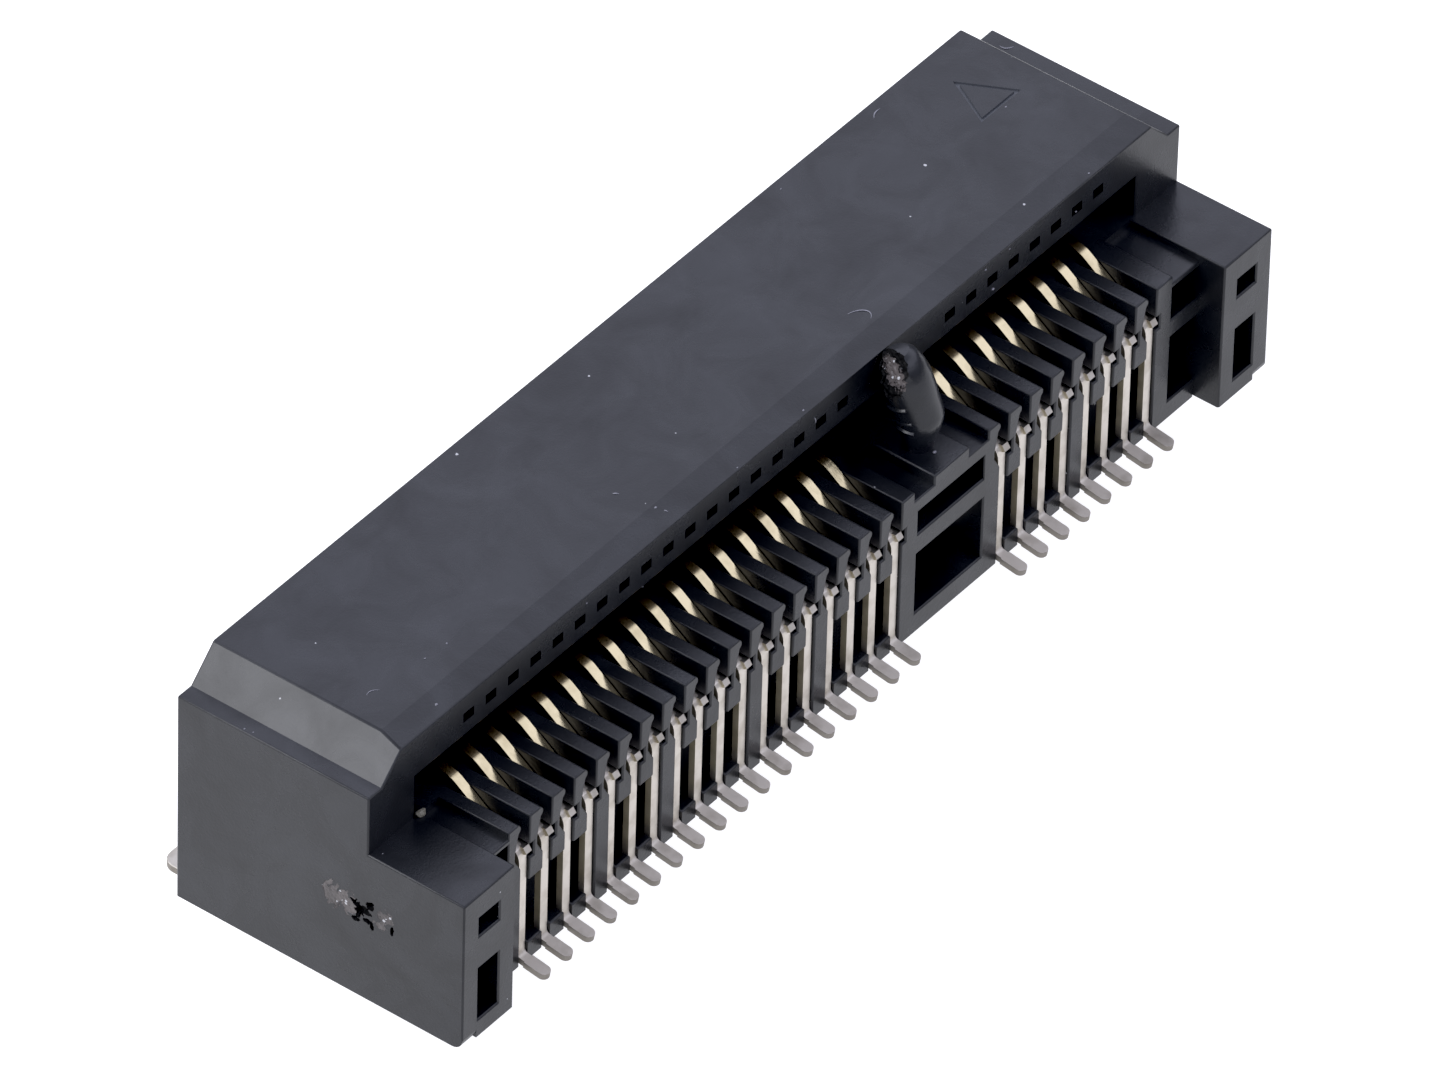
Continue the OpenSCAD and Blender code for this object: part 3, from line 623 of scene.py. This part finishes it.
tip = [f for f in moulding.data.polygons
       if f.normal.dot(TIP_FACING) > SAME_WAY and f.center.z > TIP_LOWEST * MM]
tip_areas = [f.area for f in tip]
tip_centre = np.average([f.center for f in tip], axis=0, weights=tip_areas) / MM
rim = np.array([moulding.data.vertices[i].co for f in tip for i in f.vertices]) / MM - tip_centre
tip_up = Vector(UP) - TIP_FACING * TIP_FACING.z
tip_up.normalize()
half_up = np.abs(rim @ np.array(tip_up)).max()
half_side = np.abs(rim @ np.array(TIP_FACING.cross(tip_up))).max()
print("tip at", tip_centre.round(3), "mm,", round(sum(tip_areas) / MM ** 2, 2), "square mm,",
      "half sizes", round(half_up, 2), "and", round(half_side, 2))

# %% [markdown]
# ## The break and its streak
# The whole break is dark and rough, and a pale streak runs down it where the glass stands
# out. The break is cut over a grid that covers it. The streak is an ellipse across it
# with an uneven outline, cut a little deeper than the rest, so that its own finish shows.

# %% Tear the post's tip
TIP_STEP, TIP_SPARE, TIP_ABOVE = 0.028, 0.05, 0.06
TIP_FACETS, TIP_LEAST, TIP_MORE = (0.09, 0.5), 0.006, 0.05
STREAK_WAY, STREAK_LONG, STREAK_WIDE, STREAK_OFF = (0.36, 0.93), 0.95, 0.42, 0.05
STREAK_EDGE_FACETS, STREAK_UNEVEN = (0.08, 0.4), 0.5
STREAK_FACETS, STREAK_LEAST, STREAK_MORE = (0.07, 0.5), 0.058, 0.03

u, v = grid(half_up + TIP_SPARE, half_side + TIP_SPARE, TIP_STEP)
tip_depth = torn_depth(u, v, TIP_LEAST, TIP_MORE, TIP_FACETS, rng)
take_away(moulding, cutter("tip_break", tip_centre, TIP_FACING, UP, u, v, tip_depth, TIP_ABOVE,
                           dark_break_and_shade_plastic))

along, off = u * STREAK_WAY[0] + v * STREAK_WAY[1], v * STREAK_WAY[0] - u * STREAK_WAY[1]
oval = 1 - np.hypot(along / (STREAK_LONG * half_side), (off + STREAK_OFF) / (STREAK_WIDE * half_up))
streak = oval + STREAK_UNEVEN * (facets(u, v, *STREAK_EDGE_FACETS, rng) - 0.5)
deep = torn_depth(u, v, STREAK_LEAST, STREAK_MORE, STREAK_FACETS, rng)
streak_depth = np.where(streak > 0, deep, UNCUT)
take_away(moulding, cutter("tip_streak", tip_centre, TIP_FACING, UP, u, v, streak_depth,
                           TIP_ABOVE, torn_plastic))

# %% [markdown]
# ## Flat faces
# After the cuts, the triangles of each flat face are joined into one, so that a bevel
# meets whole faces. The torn places are left out of that, because their facets are small
# and have to stay as they are.

# %% Join the flat faces
FLAT_WITHIN, TIP_BOX, FENCE_SPARE = math.radians(0.6), 0.75, 0.01
END_FROM, END_TO = 14.5, 15


def join_flat(mesh, boxes=()):
    """Join the triangles of each flat face into one, except inside the boxes, which are pairs
    of low and high corners in millimetres. A lost or doubled face would change the area that
    is added up before and after, so the two sums are given back to be compared."""
    def area():
        mesh.calc_loop_triangles()
        return sum(t.area for t in mesh.loop_triangles) / MM ** 2

    def boxed(vert):
        return any(all(low[i] <= vert.co[i] / MM <= high[i] for i in range(3))
                   for low, high in boxes)

    before = area()
    work = open_mesh(mesh)
    loose = {vert for vert in work.verts if not boxed(vert)}
    edges = [edge for edge in work.edges if not loose.isdisjoint(edge.verts)]
    bmesh.ops.dissolve_limit(work, angle_limit=FLAT_WITHIN, verts=list(loose), edges=edges,
                             delimit={"MATERIAL"})
    write_back(work, mesh)
    return before, area()


gate_box = ((END_FROM, *(at - FENCE_SPARE for at in FENCE[0])),
            (END_TO, *(at + FENCE_SPARE for at in FENCE[1])))
tip_box = tuple(tip_centre - TIP_BOX), tuple(tip_centre + TIP_BOX)
areas = join_flat(moulding.data, [gate_box, tip_box])
print("area", round(areas[0], 2), "before joining,", round(areas[1], 2), "after")

# %% [markdown]
# ## The triangle and the windows
# Two small places of the moulding have a finish of their own. The shallow triangle in the
# top takes a paler finish, painted light that lifts the shade in its groove and makes it
# faint. The walls of the small windows take the near-black finish of the pits, painted
# shade. Both are picked out by where they lie, and the slanted faces near the triangle are
# kept out.

# %% Pick out the small places
TRIANGLE_Z, SLANTED, WINDOW_Z, WINDOW_Y = (6.79, 6.84), (0.01, 0.999), (5.96, 6.26), (0.15, 1.3)


def between(value, span):
    """Whether a value lies inside a span."""
    return span[0] < value < span[1]


triangle = [f for f in moulding.data.polygons if between(f.center.z / MM, TRIANGLE_Z)
            and not between(abs(f.normal.z), SLANTED)]
window_walls = [f for f in moulding.data.polygons if between(f.center.z / MM, WINDOW_Z)
                and between(f.center.y / MM, WINDOW_Y)]
# The triangle takes painted light, and the window walls take painted shade.
for faces, finish in ((triangle, LIT_GROOVE), (window_walls, DARK_BREAK_AND_SHADE)):
    for face in faces:
        face.material_index = finish
print(len(triangle), "faces in the triangle,", len(window_walls), "in the windows")

# %% [markdown]
# ## The housing's softened edges
# No moulded edge is perfectly sharp. Each outer edge gets a Bevel of a few hundredths of
# a millimetre. One width for all would eat up the narrow faces of the comb, so the width
# is scaled edge by edge with a bevel weight: a bevel never takes more than a third of a
# narrow face. Torn edges get none, and neither do the edges down at the foot and at the
# front of the shelves.

# %% Weigh the edges
EDGE_WIDTH, OUTER_FROM, SMOOTH_WITHIN = 0.04 * MM, math.radians(30), math.radians(30)
FOOT_TOP, SHELF_FRONT_Y, SHELF_FRONT_Z = 0.45, (1.3, 1.6), (3.9, 4.5)


def weigh_edges(mesh, width):
    """Bevel weight of each convex edge: a third of its narrower face, as a share of width, at
    most 1. A face's narrow side is worked out as twice its area over its outline's length."""
    work = open_mesh(mesh)
    weights = np.zeros(len(work.edges))
    for i, edge in enumerate(work.edges):
        if len(edge.link_faces) == 2 and edge.is_convex and edge.calc_face_angle(0) > OUTER_FROM:
            middle = (edge.verts[0].co + edge.verts[1].co) / 2 / MM
            at_shelf = between(middle.y, SHELF_FRONT_Y) and between(middle.z, SHELF_FRONT_Z)
            all_moulded = max(f.material_index for f in edge.link_faces) == SKIN
            if all_moulded and not (middle.z < FOOT_TOP or at_shelf):
                narrow = min(2 * f.calc_area() / f.calc_perimeter() for f in edge.link_faces)
                weights[i] = min(1.0, narrow / 3 / width)
    work.free()
    layer = mesh.attributes.new("bevel_weight_edge", "FLOAT", "EDGE")
    layer.data.foreach_set("value", weights)
    return weights


def shade_smooth(mesh, within):
    """Shade the whole mesh smooth, and mark each edge with a larger angle as sharp."""
    mesh.polygons.foreach_set("use_smooth", np.ones(len(mesh.polygons), bool))
    mesh.set_sharp_from_angle(angle=within)


shade_smooth(moulding.data, SMOOTH_WITHIN)
work = open_mesh(moulding.data)
for edge in work.edges:
    if len({f.material_index >= TORN for f in edge.link_faces}) == 2:
        edge.smooth = False
write_back(work, moulding.data)
weights = weigh_edges(moulding.data, EDGE_WIDTH)
print(int((weights > 0).sum()), "edges to soften, of them", int((weights == 1).sum()), "in full")

# %% [markdown]
# ## Bevels worked out for good
# A live Bevel drops the marks of sharp edges, and then the inner corners of the ledges
# shade as if they were round. So the bevel is worked out into the mesh, the inner
# corners are marked as sharp again, and a Weighted Normal modifier after it keeps the
# large faces flat beside their bevels. The bevels have their own slot, where the plastic
# is slightly paler and duller, as rubbed edges are.

# %% Soften the moulding
INNER_CORNER, TOO_SHARP = -math.radians(20), math.radians(50)


def settle(piece):
    """Work out the piece's Bevel for good, and mark each inner corner as sharp, and each outer
    edge that is too sharp to be part of a bevel."""
    work_out(piece)
    work = open_mesh(piece.data)
    for edge in work.edges:
        angle = edge.calc_face_angle_signed(0) if len(edge.link_faces) == 2 else 0
        if angle < INNER_CORNER or angle > TOO_SHARP:
            edge.smooth = False
    write_back(work, piece.data)
    flatten = piece.modifiers.new("flat_faces", "WEIGHTED_NORMAL")
    flatten.keep_sharp = True


soften = moulding.modifiers.new("softened_edges", "BEVEL")
soften.limit_method, soften.width, soften.segments = "WEIGHT", EDGE_WIDTH, 2
soften.use_clamp_overlap, soften.material = False, EDGE
settle(moulding)
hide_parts("housing")
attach(moulding, "root")
print("housing", len(moulding.data.polygons), "faces")

# %% [markdown]
# ## Plated metal
# Each contact is stamped from copper alloy strip, bent, and plated in two zones: gold
# where it meets the card, matt tin where it is soldered. The sheared sides keep a
# yellower tone than the rolled faces, and the upright faces of a foot are darker. A material
# for each zone would need the mesh to be split. Instead, one finish reads the height of
# a point to change from gold to tin, and the way the surface faces to tell a sheared
# side from a face.

# %% Tell the zones apart
BARE_ALLOY_AND_SHADE, FOOT_UPRIGHT_TONE = (0.2, 0.15, 0.08, 1), (0.3, 0.28, 0.25, 1)
TIN_TOP, TIN_FADE, UNDER_BAND = 3.65, 0.12, (1.28, 1.42)
SIDE_FACING, SIDE_FROM_Z = (0.6, 0.8), (0.5, 1.0)
FLAT_FACING, FOOT_EDGE_Z = (0.5, 0.7), (0.28, 0.34)


def zones(tree, place, gold, tin, side):
    """The colour of the strip's zones, and the masks of the gold and of the sheared sides.
    Gold lies above the top of the tin, but under the band a dark alloy colour is painted as
    shade, and bare alloy shows on sheared sides there. Below, the faces are tin, the sides have
    their own tone, and the foot's upright faces are darker."""
    facing = node(tree, "SeparateXYZ", {0: node(tree, "TexCoord").outputs["Normal"]}).outputs
    above = ramp(tree, place["Z"], TIN_TOP - TIN_FADE, TIN_TOP + TIN_FADE)
    out_of_band_shade = ramp(tree, place["Y"], *UNDER_BAND)
    # Under the band the gold gives way to a dark alloy colour, painted shade for the recess.
    colour = blend(tree, above, tin, blend(tree, out_of_band_shade, BARE_ALLOY_AND_SHADE, gold))
    sideways = ramp(tree, calc(tree, "ABSOLUTE", facing["X"]), *SIDE_FACING)
    sheared = calc(tree, "MULTIPLY", sideways, ramp(tree, place["Z"], *SIDE_FROM_Z))
    colour = blend(tree, sheared, colour, blend(tree, above, side, BARE_ALLOY_AND_SHADE))
    # The upright faces of a foot, low down, are made darker.
    upright = ramp(tree, calc(tree, "ABSOLUTE", facing["Z"]), *FLAT_FACING, 1.0, 0.0)
    foot_upright_faces = calc(tree, "MULTIPLY", upright, ramp(tree, place["Z"], *FOOT_EDGE_Z, 1.0, 0.0))
    return blend(tree, foot_upright_faces, colour, FOOT_UPRIGHT_TONE), above, sheared


print("tin up to", TIN_TOP - TIN_FADE, "mm, gold from", TIN_TOP + TIN_FADE, "mm")

# %% [markdown]
# ## Tin that has been handled
# Plating isn't even. It tarnishes in patches, and rolling the strip leaves fine lines
# along it. The lines are a noise that is pressed together across the strip, and they
# change both the roughness and the bump. The gold is smoothest, and the feet, which the
# bending tool pressed, are roughest.

# %% Mix the plated metals
TARNISH, PATCHES = (0.42, 0.38, 0.3, 1), (0.45, 0.75, 0.0, 0.4)
GOLD_ROUGH, SHEARED_ROUGH, FOOT_ROUGH, FOOT_ROUGH_Z = 0.16, 0.15, 0.22, (0.3, 0.6)
PRESSED, LINE_ROUGH, LINE_DEPTH, LINE_BUMP = (9.0, 2.0, 2.0), 0.14, 0.008, 0.5


def plated(name, gold, tin, side, rough):
    """Metal in zones, dulled in patches. Its roughness is that of the tin or the gold, plus
    a share on the sheared sides, one in the foot and one that follows the fine lines."""
    material, tree, shader, point = new_material(name)
    place = node(tree, "SeparateXYZ", {0: point}).outputs
    colour, above, sheared = zones(tree, place, gold, tin, side)
    patches = ramp(tree, noise(tree, point, per_mm=2.2, detail=3), *PATCHES)
    tree.links.new(blend(tree, patches, colour, TARNISH, "MULTIPLY"), shader.inputs["Base Color"])
    shader.inputs["Metallic"].default_value = 1.0
    drawn = noise(tree, vector(tree, "MULTIPLY", point, PRESSED), per_mm=1.6, detail=4, rough=0.6)
    matt = calc(tree, "ADD", ramp(tree, above, 0.0, 1.0, rough, GOLD_ROUGH),
                calc(tree, "MULTIPLY", sheared, SHEARED_ROUGH))
    matt = calc(tree, "ADD", matt, ramp(tree, place["Z"], *FOOT_ROUGH_Z, FOOT_ROUGH, 0.0))
    matt = calc(tree, "ADD", calc(tree, "MULTIPLY", drawn, LINE_ROUGH), matt)
    tree.links.new(matt, shader.inputs["Roughness"])
    lines = calc(tree, "MULTIPLY", drawn, LINE_DEPTH)
    bump = node(tree, "Bump", {"Strength": LINE_BUMP, "Distance": MM, "Height": lines})
    tree.links.new(bump.outputs[0], shader.inputs["Normal"])
    return material


contact_metal = plated("plated_contact_strip", gold=(0.56, 0.485, 0.31, 1),
                       tin=(0.64, 0.6, 0.54, 1), side=(0.56, 0.51, 0.38, 1), rough=0.36)
nail_metal = plated("tinned_nail_sheet", gold=(0.64, 0.61, 0.55, 1),
                    tin=(0.64, 0.61, 0.55, 1), side=(0.58, 0.56, 0.5, 1), rough=0.38)
print("metals", [m.name for m in (contact_metal, nail_metal)])

# %% [markdown]
# ## Contacts and nails
# The strips are copied from the CAD model, so that their bends shade as true curves and
# their sheared edges, which tumbling rounds, can be bevelled by a hair. They lie exactly
# where the CAD has them.

# %% Stamp the contacts and nails
STRIP_EDGE, BEND_WITHIN, STRIP_OUTER = 0.022 * MM, math.radians(25), math.radians(50)


def stamped_copy(name, finish):
    """The CAD strip with smooth bends and its sheared edges rounded by a hair."""
    strip = welded_copy(name, name + "_strip")
    join_flat(strip.data)
    strip.data.materials.clear()
    strip.data.materials.append(finish)
    shade_smooth(strip.data, BEND_WITHIN)
    rounded = strip.modifiers.new("rounded_edges", "BEVEL")
    rounded.limit_method, rounded.angle_limit = "ANGLE", STRIP_OUTER
    rounded.width, rounded.segments = STRIP_EDGE, 2
    settle(strip)
    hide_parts(name)
    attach(strip, "root")


contacts = [n for n in nodes if n.startswith(("upper_contact", "lower_contact"))]
nails = [n for n in nodes if n.startswith("fitting_nail")]
for name in contacts:
    stamped_copy(name, contact_metal)
for name in nails:
    stamped_copy(name, nail_metal)
print(len(contacts), "contacts and", len(nails), "nails plated")

# %% [markdown]
# ## Pebbles
# Crumbs and specks of dust catch light and cast shade, which a painted mark doesn't, so
# they are small closed meshes. A ball would look too neat. So a speck is a ball of points
# whose radius is changed by a sum of waves, and it is pressed flatter than it is wide.

# %% Shape a pebble
WAVE_SIZE, PEBBLE_DEEP, PEBBLE_TALL = 0.16, 0.75, 0.62


def tube_faces(rings, sides):
    """Faces that join rings of points, closed by one point at the start and one at the end."""
    j = np.arange(sides)
    k = (j + 1) % sides
    bands = [np.stack([i * sides + j, (i + 1) * sides + j, (i + 1) * sides + k, i * sides + k], -1)
             for i in range(rings - 1)]
    last, start_point = (rings - 1) * sides, rings * sides
    caps = [np.stack([np.full(sides, start_point), j, k], -1),
            np.stack([last + j, np.full(sides, start_point + 1), last + k], -1)]
    return [face for part in bands + caps for face in part.tolist()]


def pebble(centre, size, rng, rings=14, sides=20):
    """Points and faces of a closed pebble. Its radius is half its size times one plus three
    small waves over the two angles, and each end ring closes in a single point."""
    a, b = np.meshgrid(np.linspace(0, np.pi, rings)[1:-1],
                       np.linspace(0, 2 * np.pi, sides, endpoint=False), indexing="ij")
    phase = rng.uniform(0, 6, 6)
    wave = sum(WAVE_SIZE * np.sin((i + 2) * a + phase[i]) * np.cos((i + 1) * b + phase[i + 3])
               for i in range(3))
    r = size / 2 * (1 + wave)
    ball = np.stack([r * np.sin(a) * np.cos(b), r * np.sin(a) * np.sin(b) * PEBBLE_DEEP,
                     r * np.cos(a) * PEBBLE_TALL], -1).reshape(-1, 3)
    pole = PEBBLE_TALL / 2 * size
    poles = np.array([[0, 0, pole], [0, 0, -pole]])
    return np.vstack([ball, poles]) + centre, tube_faces(rings - 2, sides)


print("a pebble of 14 rings and 20 sides has", len(tube_faces(12, 20)), "faces")

# %% [markdown]
# ## A crumb of flux
# A pale crumb of flux lies in the corner where the recess ends. It rests on the shelf
# there, and its finish is dull and slightly mottled, because dried flux is neither clear
# nor even.

# %% Drop the crumb
CRUMB_AT, CRUMB_SIZE = (13.15, 1.5, 4.43), 0.26


def mottled(name, dark, light):
    """A dull finish that wavers between two colours, and is rougher where it is light."""
    material, tree, shader, point = new_material(name)
    tone = noise(tree, point, per_mm=9.0, detail=3)
    tree.links.new(blend(tree, tone, dark, light), shader.inputs["Base Color"])
    tree.links.new(ramp(tree, tone, 0.3, 0.7, 0.5, 0.7), shader.inputs["Roughness"])
    return material


def scatter(name, parts, finish):
    """One object from several lots of points and faces, in millimetres."""
    points, faces, start = [], [], 0
    for lot, lot_faces in parts:
        points.append(lot)
        faces += [[start + i for i in face] for face in lot_faces]
        start += len(lot)
    mesh = bpy.data.meshes.new(name)
    mesh.from_pydata((np.vstack(points) * MM).tolist(), [], faces)
    mesh.polygons.foreach_set("use_smooth", np.ones(len(mesh.polygons), bool))
    mesh.materials.append(finish)
    made = add(name, mesh)
    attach(made, "root")
    return made


pale_flux = mottled("pale_flux", (0.11, 0.1, 0.07, 1), (0.24, 0.23, 0.19, 1))
rng = np.random.default_rng(5)
crumb = scatter("flux_crumb", [pebble(CRUMB_AT, CRUMB_SIZE, rng)], pale_flux)
print("crumb", len(crumb.data.polygons), "faces")

# %% [markdown]
# ## Fibres
# A textile fibre is round, as thick as a hair or thinner, and never straight. It could be
# a curve object with a bevel, but a tube worked out here closes at both ends and joins the
# specks in one mesh. Its middle follows a few points that the photograph gives.

# %% Shape a fibre
FIBRE_END, NOT_ALONG = 0.35, (0.3, 0.2, 0.93)


def fibre(path, width, rings=12, sides=6):
    """Points and faces of a fibre. Its middle line is a Bezier curve, the sum of the path's
    points, each times its binomial share of t and 1 - t. Its radius rises from a third of
    the full one to the full one and falls again, as half a sine wave does."""
    path = np.array(path, float)
    t = np.linspace(0, 1, rings)[:, None]
    n = len(path) - 1
    middle = sum(math.comb(n, i) * t ** i * (1 - t) ** (n - i) * path[i] for i in range(n + 1))
    ahead = np.gradient(middle, axis=0)
    ahead /= np.linalg.norm(ahead, axis=1, keepdims=True)
    aside = np.cross(ahead, NOT_ALONG)
    aside /= np.linalg.norm(aside, axis=1, keepdims=True)
    over = np.cross(aside, ahead)
    turn = np.linspace(0, 2 * np.pi, sides, endpoint=False)[None, :, None]
    swell = FIBRE_END + (1 - FIBRE_END) * np.sin(np.pi * t)
    radius = (width / 2 * swell)[:, :, None]
    ring = np.cos(turn) * aside[:, None] + np.sin(turn) * over[:, None]
    tube = (middle[:, None] + radius * ring).reshape(-1, 3)
    return np.vstack([tube, path[:1], path[-1:]]), tube_faces(rings, sides)


trial_points, trial_faces = fibre([(0, 0, 0), (1, 0, 0.5), (2, 0, 0)], 0.1)
print("a fibre has", len(trial_points), "points and", len(trial_faces), "faces")

# %% [markdown]
# ## Lint
# Specks of dust and short fibres lie on the top, the ledges and the band. Each lies where
# the photograph shows one, and touches the face that carries it. All the lint is one
# piece with one finish, because separate objects of a few faces would only crowd the list
# of pieces.

# %% Scatter the lint
# Middle and size of each speck.
SPECKS = [(3.951, 0.855, 6.833, 0.07), (12.19, 1.136, 6.783, 0.08),
          (11.21, 0.031, 6.85, 0.055), (10.51, 0.091, 6.85, 0.05),
          (-6.563, -3.715, 6.85, 0.05), (-12.136, -1.501, 6.85, 0.06),
          (-0.864, 1.324, 6.749, 0.065), (1.626, 1.372, 6.74, 0.045),
          (-11.553, 1.323, 6.749, 0.06), (14.86, -2.157, 6.05, 0.055),
          (14.825, -1.936, 6.05, 0.045), (-14.454, 0.671, 6.05, 0.06),
          (14.775, 1.369, 4.38, 0.05), (14.694, 1.641, 4.38, 0.04),
          (-3.791, 2.894, 4.39, 0.11), (-7.831, 1.43, 5.791, 0.09),
          (-7.516, 1.43, 6.575, 0.06), (-10.964, 1.43, 6.049, 0.06),
          (-8.423, 1.43, 6.6, 0.05), (7.178, 1.43, 6.509, 0.05)]
# Width and path of each fibre.
FIBRES = {"top_long": (0.035, [(-4.048, 0.14, 6.85), (-4.3, 0.19, 6.86), (-4.6, 0.48, 6.86),
                               (-4.259, 0.635, 6.85)]),
          "top_front": (0.04, [(-9.909, -3.605, 6.85), (-10.04, -3.72, 6.86),
                               (-10.12, -3.7, 6.86), (-10.268, -3.707, 6.85)]),
          "top_near_end": (0.025, [(12.991, -0.206, 6.85), (12.82, -0.29, 6.86),
                                   (12.668, -0.095, 6.85)]),
          "far_ledge": (0.045, [(-14.577, -3.502, 6.05), (-14.5, -3.3, 6.06),
                                (-14.763, -3.234, 6.05)]),
          "top_short": (0.04, [(4.193, -0.18, 6.85), (4.16, -0.12, 6.86), (4.111, -0.06, 6.85)]),
          "chamfer": (0.03, [(3.865, 1.028, 6.802), (3.86, 1.08, 6.8), (3.834, 1.117, 6.786)]),
          "band": (0.035, [(-1.15, 1.43, 6.4), (-1.2, 1.44, 6.3), (-1.195, 1.43, 6.205)])}

pale_lint = mottled("pale_lint", (0.14, 0.14, 0.16, 1), (0.26, 0.26, 0.29, 1))
dots = [pebble(speck[:3], speck[3], rng, rings=7, sides=8) for speck in SPECKS]
threads = [fibre(path, width) for width, path in FIBRES.values()]
lint = scatter("lint", dots + threads, pale_lint)
print("lint", len(lint.data.polygons), "faces in", len(dots), "specks and", len(threads), "fibres")

# %% [markdown]
# ## Close the scene
# The view layer is brought up to date.

# %% Update the view layer
bpy.context.view_layer.update()
